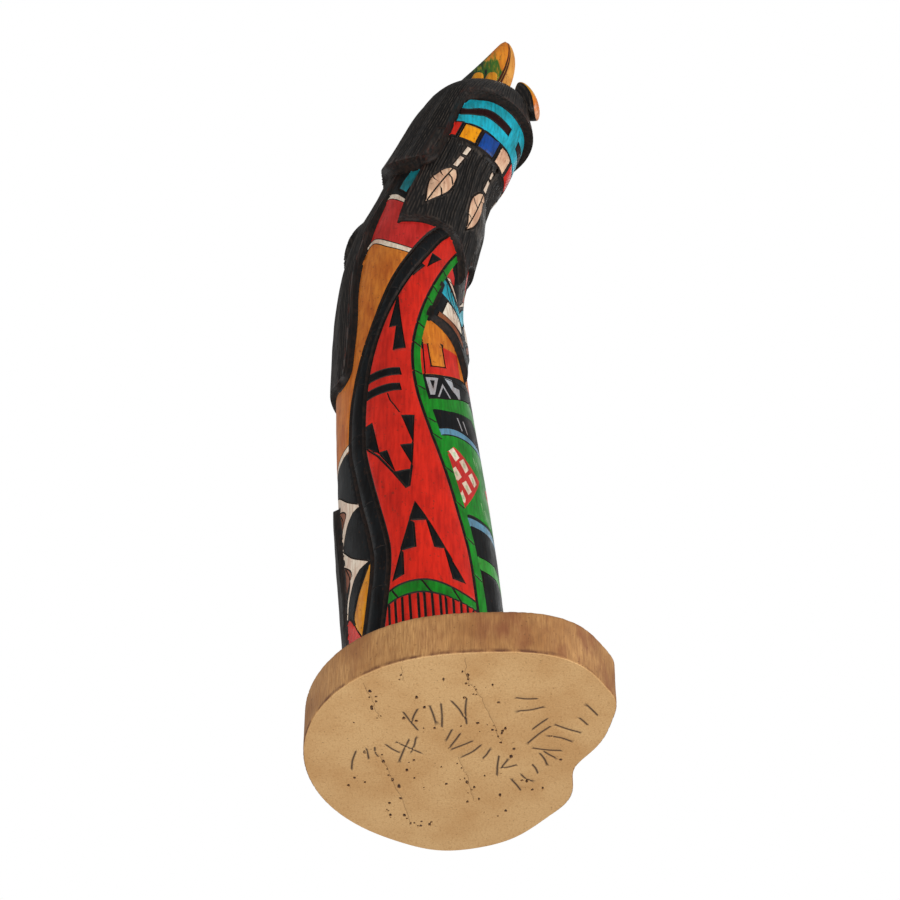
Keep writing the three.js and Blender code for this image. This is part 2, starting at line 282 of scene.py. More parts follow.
# %% The sheet itself
class Sheet:
    """A flat sheet in millimetres, with the lines that are cut into it."""

    def __init__(self, outline):
        self.outline = np.array(outline, float)
        self.low, self.high = self.outline.min(0), self.outline.max(0)
        self.cuts = []
        self.covers = []
        self.cut(ring(self.outline))

    def covered(self, points):
        """Which points lie under something that hides the lines drawn there."""
        under = np.zeros(len(points), bool)
        for edge, outline, margin in self.covers:
            low, high = outline.min(0) - margin, outline.max(0) + margin
            if (points.min(0) <= high).all() and (points.max(0) >= low).all():
                under |= inside(points, outline) | (distance_to(points, edge) < margin)
        return under

    def cut(self, line, sink=(0, 0), burnt=(0, 0), step=1.3):
        """An edge of the mesh along a line, where the line lies on the sheet and nothing covers it.

        Sink is its depth and burnt how dark it is, on the near and the far side: a scorch, a pencil stroke,
        or painted shade in a hollow."""
        line = resampled(np.array(line, float), step)
        held = np.clip(line, self.low, self.high)
        off = abs(held - line).max(1) > 1e-6
        under = self.covered(line)
        for i in np.flatnonzero(under[:-1] != under[1:]):
            hidden, shown = (i, i + 1) if under[i] else (i + 1, i)
            for share in (0.5, 0.25, 0.125):  # draws the hidden end out to the edge of the cover
                held[hidden] = line[shown] + (line[hidden] - line[shown]) * share
                if not self.covered(held[hidden][None])[0]:
                    break
        drawn = ~(off[:-1] & off[1:]) & ~(under[:-1] & under[1:])
        changes = np.flatnonzero(np.diff(np.r_[0, drawn.astype(int), 0]))
        for start, end in zip(changes[::2], changes[1::2]):
            self.cuts.append((held[start:end + 1], sink, burnt))

    def groove(self, line, width, depth, closed=False, sides=(1, 1)):
        """A V-shaped groove: its bottom, and a lip on either side."""
        line = np.array(line, float)
        for shift in (-width / 2, 0, width / 2):
            path = beside(line, shift, closed) if shift else line
            amount = [0 if shift else side for side in sides]
            sink = [-depth * a for a in amount]
            self.cut(ring(path) if closed else path, sink, amount)

    def fill(self, spacing, clearance, barred=()):
        """A scatter of points in staggered rows, off the lines and outside the barred outlines."""
        drawn = np.vstack([line for line, _, _ in self.cuts])
        tree = KDTree(len(drawn))
        for i, point in enumerate(drawn):
            tree.insert((*point, 0), i)
        tree.balance()
        rows = np.arange(self.low[1] + spacing, self.high[1], spacing * 0.87)
        points = [
            (x + (row % 2) * spacing / 2, y)
            for row, y in enumerate(rows)
            for x in np.arange(self.low[0] + spacing / 2, self.high[0], spacing)
        ]
        points = np.array(points)
        keep = inside(points, self.outline)
        for outline in barred:
            keep &= ~inside(points, outline)
        return np.array([p for p in points[keep] if tree.find((*p, 0))[2] > clearance])

    def mesh(self, spacing, clearance, barred=()):
        """Triangulates the sheet. Returns its points, faces, and depth and darkness at each point: scorch,
        pencil, or painted shade in a hollow.
        """
        points = [Vector(p) for p in self.fill(spacing, clearance, barred)]
        edges, sinks, burns = [], [], []
        for line, sink, burnt in self.cuts:
            start = len(points)
            points += [Vector(p) for p in line]
            edges += [(start + i, start + i + 1) for i in range(len(line) - 1)]
            sinks += [sink] * (len(line) - 1)
            burns += [burnt] * (len(line) - 1)
        verts, joined, faces, _, sources, _ = delaunay_2d_cdt(points, edges, [], 0, 1e-4, True)
        sunk, scorched = np.zeros((len(verts), 2)), np.zeros((len(verts), 2))
        for ends, source in zip(joined, sources):
            for line_edge in source:
                for end in ends:
                    sunk[end] = np.minimum(sunk[end], sinks[line_edge])
                    scorched[end] = np.maximum(scorched[end], burns[line_edge])
        flat = np.array([tuple(v) for v in verts])
        faces = np.array(faces)
        faces = faces[inside(flat[faces].mean(1), self.outline)]
        return flat, faces, sunk, scorched


print("a sheet can be cut, grooved and meshed")

# %% [markdown]
# ## The slab
# The slab is a slice from a branch, sawn across: a circle with a swelling to one side, a notch and a
# flat spot. Its underside is what the doll shows first, so it gets its own marked-out sheet with
# drying cracks, worm pits and rows of shallow pencil-like strokes, which are not letters. The rim
# is the edge of that sheet extruded upwards in steps, which keeps every fibre line running up through
# the thickness, and one plain face closes the top.

# %% Slab outline
SLAB_RADIUS = 50
WORN_EDGE = 0.45
SLAB_BUMPS = [  # where it is in degrees, how far it reaches and how wide it is
    (-48, 9.3, 26),  # the swelling
    (-28, 2.2, 8),
    (11, -10.9, 19),  # the notch
    (46, -5.0, 20),
    (97, 1.6, 14),
]


def slab_radius(angle):
    """The slab's radius towards an angle in degrees."""
    radius = SLAB_RADIUS
    for toward, reach, width in SLAB_BUMPS:
        away = (angle - toward + 180) % 360 - 180
        radius = radius + reach * np.exp(-((away / width) ** 2))
    return radius


def slab_ring(inset, count=380):
    """The outline, inset by some millimetres, before it is centred."""
    angles = np.arange(count) * 360 / count
    radius = slab_radius(angles) - inset
    return np.stack([radius * np.cos(np.radians(angles)), radius * np.sin(np.radians(angles))], 1)


full_ring = slab_ring(0)
SLAB_MIDDLE = (full_ring.min(0) + full_ring.max(0)) / 2
print("slab outline", np.round(np.ptp(full_ring, axis=0), 1), "mm")

# %% Marks under the slab
STROKE_ROWS = [  # start, end, number of strokes, their length
    ((-33, -2), (-10, -10), 7, 9.5),
    ((-17, -22), (6, -30), 6, 12.0),
    ((-2, -13), (22, 8), 8, 8.5),
    ((25, -28), (31, -10), 4, 9.0),
    ((44, -20), (18, 22), 10, 8.5),
]
CRACKS = [
    [(2, -48), (3, -38), (8, -27), (12, -13), (14, -7)],
    [(-30, -36), (-27, -26), (-25, -19)],
    [(0, 1), (3, 12), (5, 23)],
    [(-18, -44), (-17.5, -38)],
    [(-27, -2), (-22, 10), (-16, 36)],
]
PIT_CLUSTERS = [  # middle, scatter and number
    ((-17, 38), 9, 24),
    ((5, -34), 4, 6),
    ((-29, -33), 4, 9),
    ((-2, -45), 2, 2),
    ((12, -14), 4, 6),
    ((-38, 14), 6, 4),
    ((0, 0), 44, 70),
]
STROKE_WIDTH, STROKE_DEPTH = 1.15, 0.16
CRACK_WIDTH, CRACK_DEPTH = 0.4, 0.25
PIT_DEPTHS = (0.3, 0.8)
PIT_FLOOR, PIT_FLOOR_SHADE = 0.55, 0.8  # the floor's share of the lip, and how dark its painted shade is


def stroke_row(sheet, start, end, count, length):
    """A row of shallow strokes of no meaning, each a little tilted."""
    start, end = np.array(start, float), np.array(end, float)
    along = (end - start) / np.linalg.norm(end - start)
    upright = np.array([-along[1], along[0]])
    for i in range(count):
        foot = start + (end - start) * (i + random.uniform(-0.2, 0.2)) / count
        lean = upright + along * random.uniform(-0.8, 0.8)
        reach = length * random.uniform(0.45, 1)
        bend = along * random.uniform(-0.5, 0.5)
        path = smooth([foot, foot + lean * reach / 2 + bend, foot + lean * reach], 3)
        sheet.groove(path, STROKE_WIDTH, STROKE_DEPTH)


def pit(sheet, middle, radius, depth):
    """A small open hole, wider than it is deep, with a ragged lip."""
    turns = np.arange(6) * math.tau / 6 + random.random()
    reach = radius * np.array([random.uniform(0.75, 1.2) for _ in turns])[:, None]
    lip = np.stack([np.cos(turns), random.uniform(1, 2.2) * np.sin(turns)], 1) * reach
    sheet.cut(ring(lip + middle))
    # the pit's floor is darkened: painted shade in the hole
    sheet.cut(ring(lip * PIT_FLOOR + middle), (-depth, -depth), (PIT_FLOOR_SHADE, PIT_FLOOR_SHADE))


def crack(sheet, points):
    """A drying crack: a groove that wanders and widens here and there."""
    path = smooth(points, 6)
    path[1:-1] += [[random.uniform(-0.5, 0.5), random.uniform(-0.4, 0.4)] for _ in path[1:-1]]
    # the crack's floor is darkened a little: painted shade in the crevice
    sheet.groove(path, CRACK_WIDTH, CRACK_DEPTH, sides=(0.4, 0.4))
    for point in path[1:]:
        if random.random() < 0.4:
            pit(sheet, point + [random.uniform(-1.3, 1.3), 0], random.uniform(0.3, 0.65), 0.5)


underside = Sheet(slab_ring(WORN_EDGE) - SLAB_MIDDLE)
for row in STROKE_ROWS:
    stroke_row(underside, *row)
for points in CRACKS:
    crack(underside, points)
for middle, scatter, count in PIT_CLUSTERS:
    for _ in range(count):
        place = np.array(middle) + [random.gauss(0, scatter * 0.6), random.gauss(0, scatter * 0.5)]
        if np.linalg.norm(place) < SLAB_RADIUS * 0.8:
            pit(underside, place, random.uniform(0.25, 0.7), random.uniform(*PIT_DEPTHS))
print("underside has", len(underside.cuts), "cut lines")

# %% Build the slab
RIM_RINGS = 15  # crowded towards both edges
GRAIN_DEPTH = 0.45  # how deep the grain is on the rim
SLAB_SPACING, SLAB_CLEARANCE = 1.7, 0.7
SLAB_SHARP = math.radians(38)


def underside_mesh():
    """The underside's mesh laid flat, with its sunk points pushed into the wood above it."""
    flat, faces, sunk, scorched = underside.mesh(SLAB_SPACING, SLAB_CLEARANCE)
    verts = [(x * MM, y * MM, -sink * MM) for (x, y), sink in zip(flat, sunk[:, 0])]
    mesh = bpy.data.meshes.new("underside")
    mesh.from_pydata(verts, [], faces.tolist())
    # how dark each point is: pencil strokes, and painted shade in the floors of pits and cracks
    mesh.attributes.new("dark", "FLOAT", "POINT").data.foreach_set("value", scorched[:, 0])
    return mesh


def rim_place(corner, height):
    """Where a point of the underside's edge comes at a height up the rim, with the rim's fibres."""
    x, y = corner.x / MM + SLAB_MIDDLE[0], corner.y / MM + SLAB_MIDDLE[1]
    angle = math.atan2(y, x)
    near_edge = min(height, SLAB_THICKNESS - height)
    inset = max(0, WORN_EDGE - near_edge) * random.uniform(0.8, 1.5)
    grain = noise.noise(Vector((angle * 70, height / 14, 0))) * GRAIN_DEPTH * min(1, near_edge)
    radius = slab_radius(math.degrees(angle)) - inset - max(0, grain)
    return Vector((radius * math.cos(angle), radius * math.sin(angle), 0))


def build_slab():
    bm = bmesh.new()
    bm.from_mesh(underside_mesh())
    middle = Vector((*SLAB_MIDDLE, 0))
    edge = [e for e in bm.edges if e.is_boundary]
    for share in np.arange(1, RIM_RINGS + 1) / RIM_RINGS:
        height = max(WORN_EDGE, SLAB_THICKNESS * (0.5 - 0.5 * math.cos(math.pi * share)))
        grown = bmesh.ops.extrude_edge_only(bm, edges=edge)["geom"]
        for v in (g for g in grown if isinstance(g, bmesh.types.BMVert)):
            place = rim_place(v.co, height) - middle
            v.co = (place.x * MM, place.y * MM, height * MM)
        edge = [g for g in grown if isinstance(g, bmesh.types.BMEdge) and g.is_boundary]
    bmesh.ops.holes_fill(bm, edges=edge)
    top = [f for f in bm.faces if len(f.verts) > 4]
    bmesh.ops.inset_region(bm, faces=top, thickness=WORN_EDGE * MM, depth=0)
    bmesh.ops.triangulate(bm, faces=[f for f in bm.faces if len(f.verts) > 4])
    bmesh.ops.recalc_face_normals(bm, faces=bm.faces)
    mesh = bpy.data.meshes.new("base")
    bm.to_mesh(mesh)
    print("slab", len(bm.faces), "faces,", sum(e.is_boundary for e in bm.edges), "open edges")
    bm.free()
    mesh.materials.append(wood)
    mesh.shade_smooth()
    mesh.set_sharp_from_angle(angle=SLAB_SHARP)
    slab = bpy.data.objects.new("slab", mesh)
    bpy.context.scene.collection.objects.link(slab)
    return slab


slab = build_slab()
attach(slab, "root")
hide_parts("base")

# %% [markdown]
# ## The bent root
# The root leans back to the side and thins towards the head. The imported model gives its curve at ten
# stations along it; here the same stations place the finely cut surface, so that both agree. A point
# on the sheet is an angle around the root and a length along it. Angles start at -Y, and the mask
# looks along 67 degrees. The sheet's middle line, x = 0, is the middle of the face, and its two
# edges meet down the middle of the back. Over the top of the head the sheet's rows are spaced along
# the dome, so that they don't bunch up at the crown.

# %% Stations along the root
STATIONS = np.array([  # along, lean in degrees, half width
    (0, -2.5, 27.6), (60, -4.1, 27.1), (120, -4.7, 25.6), (170, -1.5, 23.6), (205, 5, 22.7),
    (235, 13.2, 21.8), (265, 16.4, 20.5), (295, 20, 20.4), (325, 20, 18.4), (350, 18, 17.5),
])
FOOT_X = -9.5
DEPTH_SHARE = 0.97
ROOT_LENGTH, DOME_FROM, DOME_POWER = 334, 308, 2.4
LEVEL_OVER = 20
FACE_ANGLE = 67
PER_DEGREE = 0.38  # millimetres around the root
DOME_ARC = 34
DOME_SPACING = 1.2
SHEET_TOP = DOME_FROM + DOME_ARC * 0.985  # the crown's last row is drawn together to a point


def station(column, along):
    """A smooth curve through one column of the stations."""
    marks, value = STATIONS[:, 0], STATIONS[:, column]
    after, before = np.r_[1:len(marks), len(marks) - 1], np.r_[0, 0:len(marks) - 1]
    slope = (value[after] - value[before]) / (marks[after] - marks[before])
    i = np.clip(np.searchsorted(marks, along) - 1, 0, len(marks) - 2)
    span = marks[i + 1] - marks[i]
    t = np.clip((along - marks[i]) / span, 0, 1)
    rise = t * t * (3 - 2 * t)
    bow = slope[i] * span * t * (1 - t) ** 2 - slope[i + 1] * span * t * t * (1 - t)
    return value[i] * (1 - rise) + value[i + 1] * rise + bow


spine_along = np.arange(ROOT_LENGTH + 1.0)
leans = np.radians(station(1, spine_along + 0.5))
spine_x = FOOT_X + np.concatenate([[0], np.cumsum(np.sin(leans))[:-1]])
spine_z = SLAB_THICKNESS + np.concatenate([[0], np.cumsum(np.cos(leans))[:-1]])


def along_root(y):
    """How far along the root a height on the sheet is."""
    over = np.clip((y - DOME_FROM) / DOME_ARC, 0, 1)
    rise = np.sin(over * math.pi / 2) ** (1 / DOME_SPACING)
    return np.minimum(y, DOME_FROM) + (ROOT_LENGTH - DOME_FROM) * rise


def up_sheet(along):
    """The height on the sheet of a length along the root."""
    over = max(0, along - DOME_FROM) / (ROOT_LENGTH - DOME_FROM)
    return min(along, DOME_FROM) + DOME_ARC * math.asin(min(1, over) ** DOME_SPACING) * 2 / math.pi


def at(*places):
    """Points on the sheet from pairs of degrees around the root and millimetres along it."""
    return np.array([((around - FACE_ANGLE) * PER_DEGREE, up_sheet(along)) for around, along in places])


def curve(*places):
    """A smooth curve on the sheet through such places."""
    return smooth(at(*places))


print("the head's top is", round(float(spine_z[-1]), 1), "mm up")

# %% Wrap points round the root
def root_surface(x, y, lift):
    """Where sheet points come on the root, in metres, standing out of it by lift millimetres."""
    along = along_root(y)
    around = np.radians(FACE_ANGLE + x / PER_DEGREE)
    dome = np.clip((along - DOME_FROM) / (ROOT_LENGTH - DOME_FROM), 0, 1)
    root = station(2, along) * np.sqrt(1 - dome ** DOME_POWER)
    radius = root + lift * np.minimum(1, root / 6)
    tilt = np.radians(station(1, along)) * ease(0, LEVEL_OVER, along)
    across = radius * np.sin(around)
    east = np.interp(along, spine_along, spine_x) + across * np.cos(tilt)
    up = np.interp(along, spine_along, spine_z) - across * np.sin(tilt)
    return np.stack([east, -radius * np.cos(around) * DEPTH_SHARE, up], 1) * MM


def outward(x, y):
    """The direction out of the wood at each sheet point."""
    small = 0.05
    east = root_surface(x + small, y, 0 * x) - root_surface(x - small, y, 0 * x)
    up = root_surface(x, y + small, 0 * x) - root_surface(x, y - small, 0 * x)
    normal = np.cross(east, up)
    return normal / np.maximum(np.linalg.norm(normal, axis=1), 1e-12)[:, None]


# %% [markdown]
# ## What stands out of the root
# Hair, beard, sash and pelt are carved in steps: each is an outline, a lift in millimetres along the
# root and a short steep wall at its edge. Only the half of the sheet to the left of the face is drawn,
# and the other half is its mirror image, because the doll is the same on both sides. That leaves
# the hidden side in keeping with the one that shows.

# %% Raised areas
BACK = FACE_ANGLE - 180
WALL = 0.85
HAIR_SCORCH, BURNT_SCORCH = 0.94, 0.96  # past these a face is stained as hair, or left charred: a burnt line, or painted shade at the foot of a raised wall
# a wall's foot is charred: a burnt outline and painted shade under the step
HAIR_WALL, CHARRED_AND_SHADED_WALL = (0.95, 0.95), (1, 1)
CREASE, CREASE_DEPTH = 0.7, 0.25  # how far from a wall's foot its crease runs
sheet = Sheet([(-180 * PER_DEGREE, 0), (0, 0), (0, SHEET_TOP), (-180 * PER_DEGREE, SHEET_TOP)])
raised = {}


def raise_area(name, edge, closing, lift, wall=WALL, finish=HAIR_WALL):
    """Notes a raised area and cuts its wall. Closing completes the outline off the sheet."""
    edge = np.array(edge)
    outline = np.vstack([edge, closing]) if len(closing) else edge
    turn = 1 if inside(beside(edge, 0.3)[len(edge) // 2:][:1], outline)[0] else -1
    raised[name] = (edge, outline, lift, wall)
    sheet.cut(beside(edge, turn * wall / 2))
    sheet.cut(edge, (0, 0), finish)
    # the foot of the wall is charred black: a burnt outline and painted shade under the raised edge
    sheet.cut(beside(edge, -turn * wall / 2), (0, 0), CHARRED_AND_SHADED_WALL)
    sheet.cut(beside(edge, -turn * (wall / 2 + CREASE)), (-CREASE_DEPTH, -CREASE_DEPTH))


def lift_of(points):
    """How far each sheet point is lifted by the raised areas."""
    along = along_root(points[:, 1])
    most = np.zeros(len(points))
    for edge, outline, lift, wall in raised.values():
        height = lift(along)
        near = distance_to(points, edge) * np.where(inside(points, outline), 1, -1)
        most = np.maximum(most, height * ease(-wall / 2, wall / 2, near))
    return most


hood_edge = np.vstack([
    at((BACK, 270), (-86, 269.5)),
    curve((-78, 268), (-62, 263.5), (-48, 260), (-30, 258.8), (-16, 259.8), (-6, 263), (-2, 269),
              (-3.4, 279), (-5.6, 290), (-8, 302), (-6, 307)),
    curve((-3, 308), (10, 310.4), (25, 312), (50, 312.8), (67, 312.6)),
])
raise_area(
    "hood", hood_edge, at((90, 312.6), (90, 334), (BACK - 9, 334), (BACK - 9, 270)),
    lambda v: (5.6 - 1.9 * ease(254, 284, v) - 0.3 * ease(295, 307, v)) * (1 - 0.6 * ease(308, 334, v)),
)
beard_edge = np.vstack([
    at((67, 280.5), (-12, 280.5), (-12, 262), (-13.5, 245), (-13, 225.5)),
    curve((-12, 226), (15, 227.2), (37, 227), (48, 225), (57, 220.5), (63, 214.5), (67, 206)),
])
raise_area(
    "beard", beard_edge, at((90, 206), (90, 280.5)),
    lambda v: 2.2 * (1 - 0.75 * ease(243.5, 284, v)),
)
back_edge = np.vstack([
    curve((-41.5, 262), (-41.5, 238), (-43, 218), (-46.5, 206), (-47, 190), (-45.5, 175), (-48, 161),
              (-51.5, 150.5), (-58, 147), (-66, 147), (-78, 150), (-90, 152)),
    at((BACK, 153)),
])
raise_area(
    "back hair", back_edge, at((BACK - 9, 153), (BACK - 9, 280), (-60, 280)),
    lambda v: 2.3 - 1.5 * ease(222, 250, v),
)
knot_edge = curve((BACK, 242), (-80, 241), (-72, 237), (-69, 231), (-71, 225.5), (-80, 222), (BACK, 221))
raise_area(
    "hair knot", knot_edge, at((BACK - 9, 221), (BACK - 9, 242)),
    lambda v: 4.2 - 3.0 * ease(225, 242, v), 1.6,
)
bib_edge = curve((43, 196), (36, 184), (27.5, 173), (40, 170), (52, 166), (60, 160.5), (65, 153), (67, 148))
raise_area(
    "bib", bib_edge, at((90, 148), (90, 196)),
    lambda v: 1.8 * (1 - ease(172, 196, v)), 1.2, CHARRED_AND_SHADED_WALL,
)
pelt_edge = curve(
    (BACK, 94), (-87, 93.5), (-81, 89), (-77.5, 74), (-74.5, 58),
    (-73, 40), (-74, 20), (-82, 10), (BACK, 7),
)
raise_area(
    "pelt", pelt_edge, at((BACK - 9, 7), (BACK - 9, 94)),
    lambda v: 0.4 + 1.6 * ease(8, 90, v),
)
print(len(raised), "raised areas,", len(sheet.cuts), "cut lines so far")

# %% [markdown]
# ## Paint and burnt drawing
# A field of paint is a colour and an outline. Fields are laid one over another in the painter's
# order, so only the last one shows, and each may have a burnt groove round it. The two bands that
# sweep over the robe are drawn from a middle line and a width, and the fields beside them end under
# the bands, as on the real doll.

# %% Paint fields
PAINTS = {
    "ochre": "#CC7826", "red": "#D22412", "crimson": "#C82A26", "green": "#12861C", "leaf": "#2A9A2C",
    "charcoal": "#171A1C", "hair": "#151210", "turquoise": "#17B0C8", "teal": "#178A98",
    "yellow": "#F0A00C", "orange": "#D67E1E", "blue": "#0F4699", "cream": "#E8DCC8",
    "shell": "#E6C4A4", "slate": "#5A8EAA", "amber": "#DC9412", "burnt": "#140F0C",
    "umber": "#8A4E2A", "maroon": "#2A1214", "silver": "#A8ADB2", "mint": "#B8D8AE",
}
BOTH_SIDES, NEAR_ONLY, FAR_ONLY = (1, 1), (1, 0), (0, 1)
fields = []


def paint(colour, outline, groove=0.0, depth=0.4, sides=BOTH_SIDES):
    """Lays a field of paint inside an outline, which may be a list of lines that follow one another.

    A groove's width burns a line round it."""
    outline = np.vstack(outline)
    fields.append((colour, outline, sides))
    if groove:
        sheet.groove(outline, groove, depth, True, sides)
    else:
        sheet.cut(ring(outline))


def burn(line, width=0.8, depth=0.4, sides=BOTH_SIDES):
    """A burnt line on its own."""
    sheet.groove(line, width, depth, False, sides)


def band(middle, widths):
    """A band's middle line, two edges and outline, from points down its middle and its width at each."""
    centre = smooth(middle)
    spans = smooth([(w, 0) for w in widths])[:, 0]
    left, right = (
        np.array([beside(centre, side * width / 2)[i] for i, width in enumerate(spans)])
        for side in (1, -1)
    )
    return centre, left, right, np.vstack([left, right[::-1]])


S_BAND = [  # around, along, width in millimetres, from the top down
    (38, 229, 4.6), (27, 221, 4.8), (16.5, 210, 5.2), (-2.5, 190, 4.6), (-18.5, 170, 3.5),
    (-32.5, 150, 4.2), (-42, 130, 5.6), (-46, 110, 6.0), (-44.5, 100, 5.4), (-39, 82, 5.2),
    (-31.5, 60, 5.0), (-30.5, 48, 5.2), (-36, 30, 6.0), (-42, 14, 6.6), (-47, -3, 7.0),
]
GREEN_BAND = [
    (64, 225, 2.6), (49.5, 210, 2.6), (33.5, 190, 2.8), (20.5, 170, 2.9), (12.5, 151, 2.7),
    (13, 131, 2.9), (20, 110, 3.1), (28, 90, 2.8), (35, 70, 3.0), (41, 50, 3.0), (44, 30, 3.6),
    (46, 10, 4.0), (46, -3, 4.0),
]
HAIRY = ("hood", "beard", "back hair", "hair knot", "pelt")
s_middle, s_left, s_right, s_outline = band(at(*[p[:2] for p in S_BAND]), [p[2] for p in S_BAND])
g_middle, g_left, g_right, g_outline = band(at(*[p[:2] for p in GREEN_BAND]), [p[2] for p in GREEN_BAND])
hair_covers = [(*raised[name][:2], 0.75) for name in HAIRY]
band_covers = [(ring(s_outline), s_outline, 0.85), (ring(g_outline), g_outline, 0.5)]
sheet.covers = hair_covers + band_covers
print("bands of", len(s_middle), "and", len(g_middle), "points")

# %% Broad fields of the robe
FRONT = 69  # a little past the middle of the face
paint("ochre", at((BACK, -3), (FRONT, -3), (FRONT, 240), (BACK, 240)))
paint("umber", at((BACK, -3), (-50, -3), (-40, 52), (-52, 109), (BACK, 109)))
paint("red", [s_middle, g_middle[::-1]])
paint("crimson", [
    curve((-50, 207), (-45.5, 212), (-37, 216), (-30, 215.5), (-17, 212), (-4, 209.5), (10, 206.5)),
    at((30, 222), (38, 229), (69, 214), (69, 242), (-50, 242)),
])
paint("charcoal", at((-50, 243), (-30, 242), (-12, 237.4), (FRONT, 236), (FRONT, 292), (-50, 266)))
paint("cream", [
    curve((-46, 244.5), (-37, 244.4), (-27, 242.9), (-18, 240), (-8, 238)),
    curve((-8, 235.5), (-18, 237.5), (-29, 240), (-37, 241.2), (-46, 241.4)),
], 0.5)
paint("cream", [
    curve((-49, 206), (-45.5, 211), (-41, 215), (-36, 216.9), (-29, 216.3), (-17, 213.6), (-4, 211),
          (9, 209.2)),
    curve((6, 206.5), (-6, 208.4), (-18, 210.6), (-28, 213.2), (-35, 214.4), (-39.5, 212.6),
          (-43.5, 208.5), (-46, 204)),
], 0.5)
paint("teal", at((-24.5, 260.5), (-12.5, 258.5), (-17.5, 243), (-30, 247), (-29.5, 251.5)), 0.8)

# %% Scalloped clouds at the hem of the robe
SCALLOPS = [  # a white rim's upper, inner and outer curves, then the brown beside the pelt and its corner
    (
        [(-90, 101), (-75, 94.5), (-60, 86.5), (-44.5, 79.7)],
        [(-55, 79.3), (-64, 76), (-71, 70), (-76, 62), (-80, 60)],
        [(-84, 66), (-77, 74), (-71, 81), (-79, 88), (-90, 92)],
        [(-78, 69), (-74, 77), (-65, 82.5), (-76, 88), (-90, 91.5)],
        (-90, 69),
    ),
    (
        [(-82, 73), (-70, 66), (-57, 58.5), (-40, 51.5)],
        [(-50, 50.6), (-58, 47.5), (-65, 41), (-69.5, 33), (-71, 27)],
        [(-73, 32), (-68.5, 42), (-62.5, 50), (-70, 58.5), (-82, 66)],
        [(-73.5, 36), (-69, 46), (-60, 52), (-68, 58), (-82, 64)],
        (-88, 36),
    ),
]
paint("charcoal", at(
    (BACK, 110), (-48, 110), (-38, 84), (-34, 60), (-34, 40), (-43, 16), (-48, -3),
    (-78, 20), (-77, 36), (-80, 66), (BACK, 66),
))
rim_bar = curve((BACK, 112.5), (-80, 112.5), (-62, 113.2), (-51, 113.8))
paint("cream", [rim_bar, at((-51.5, 110.5)), rim_bar[::-1][1:] - [0, 3.0]], 0.5)
for upper, inner, outer, brown, corner in SCALLOPS:
    paint("cream", [curve(*upper), curve(*inner), curve(*outer)], 0.5)
    paint("umber", [curve(*brown), at(corner)], 0.5)
paint("amber", [
    curve((-37, 52.5), (-45, 46), (-53.5, 39), (-59, 32), (-57, 27), (-50, 20)),
    curve((-46, 24), (-42, 34), (-39, 44)),
], 0.7)
paint("red", [
    curve((-66, 34), (-61, 30.5), (-56.5, 25.5), (-50, 18.5), (-49, 8), (-50, -3)),
    at((-90, -3), (-90, 30)),
], 0.7)
print(len(fields), "fields")

# %% The S-shaped band and the green band
DASHES = (202, 192, 180.5, 167, 154, 141, 129.5, 116, 105, 88, 72.5, 57, 43)

sheet.covers = hair_covers
paint("charcoal", s_outline)
burn(s_left, 1.5, 0.8)
burn(s_right, 1.7, 0.9)
for k in range(4, len(s_middle) - 3, 6):  # a faint cross line every six points
    across = s_right[k] - s_left[k]
    slant = np.array([0, random.uniform(-0.6, 0.6)])
    burn([s_left[k] + across * 0.12, s_right[k] - across * 0.12 + slant], 0.35, 0.25, NEAR_ONLY)
paint("green", g_outline)
burn(g_right, 1.0, 0.5)  # only the robe's side is lined: the panel's greens run into the band
for along in DASHES:
    k = np.argmin(abs(g_middle[:, 1] - along))
    burn([g_left[k] - [0.2, 1.0], g_right[k] + [0.2, 1.2]], 0.65, 0.35)
sheet.covers = hair_covers + band_covers

# %% Stepped drawing on the red robe
def dark_figures(*outlines):
    """Charcoal figures, each with a burnt line round it."""
    for outline in outlines:
        paint("charcoal", at(*outline), 0.7)


dark_figures(
    [(27.5, 210), (36.5, 209.3), (24, 201.5)],
    [(12, 203.5), (20.5, 201.2), (7, 192), (0, 190)],
    [(-2, 183), (2.6, 152.5), (-7, 151.8), (-3.2, 165), (-9.5, 164.6)],
)
bar_top = curve((-37, 140.4), (-24, 141.6), (-12, 141.9), (-3.5, 141.4))
bar_low = curve((-2.5, 137.9), (-12, 138.1), (-24, 137.7), (-37, 136.4))
for move in ([0, 0], [0.4, 8.3]):
    paint("charcoal", np.vstack([bar_top, bar_low]) - move, 0.6)
burn(curve((-14.5, 128.5), (-13, 125), (-10, 122), (-6.5, 118)), 0.45, 0.25, NEAR_ONLY)
dark_figures(
    [(-36, 115.5), (-30, 116), (-25.5, 99.8), (-39, 106.5)],
    [(-4.5, 116), (4.3, 115.7), (1.8, 102)],
    [(-7.5, 101), (1.2, 101), (-0.8, 91)],
    [(-25.5, 100), (-19.5, 99.8), (-14, 88.5)],
    [(-15.5, 88.3), (-1.8, 88.3), (-4.5, 80.5), (-7, 80)],
)
burn(at((-39, 106.5), (-26.5, 98.5), (-15, 88), (-7, 80)), 0.8)
burn(at((4.3, 115.7), (1.8, 103), (-0.8, 91.5), (-4.5, 80.5)), 0.8)
paint("charcoal", at((-1.5, 72.3), (6, 64), (-6.5, 64)), 0.8)
dark_figures(
    [(-6.5, 64), (-4, 62.5), (-4, 51.5), (-14.5, 50.6)],
    [(5.5, 64), (7.5, 63), (17, 51), (10, 51.3)],
    [(-14.5, 50.6), (-13.5, 49.5), (-14, 39.8), (-21.5, 38)],
    [(16.5, 50.8), (30, 37), (21.5, 37.6)],
)
burn(at((-1.5, 72.3), (-6.5, 64), (-14.5, 50.6), (-21.5, 38)), 0.7)
burn(at((-1.5, 72.3), (6, 64), (17, 51), (30, 37)), 0.7)

# %% The hem: a green band and a fringe of red strands
FRINGE = 14  # burnt lines between the strands

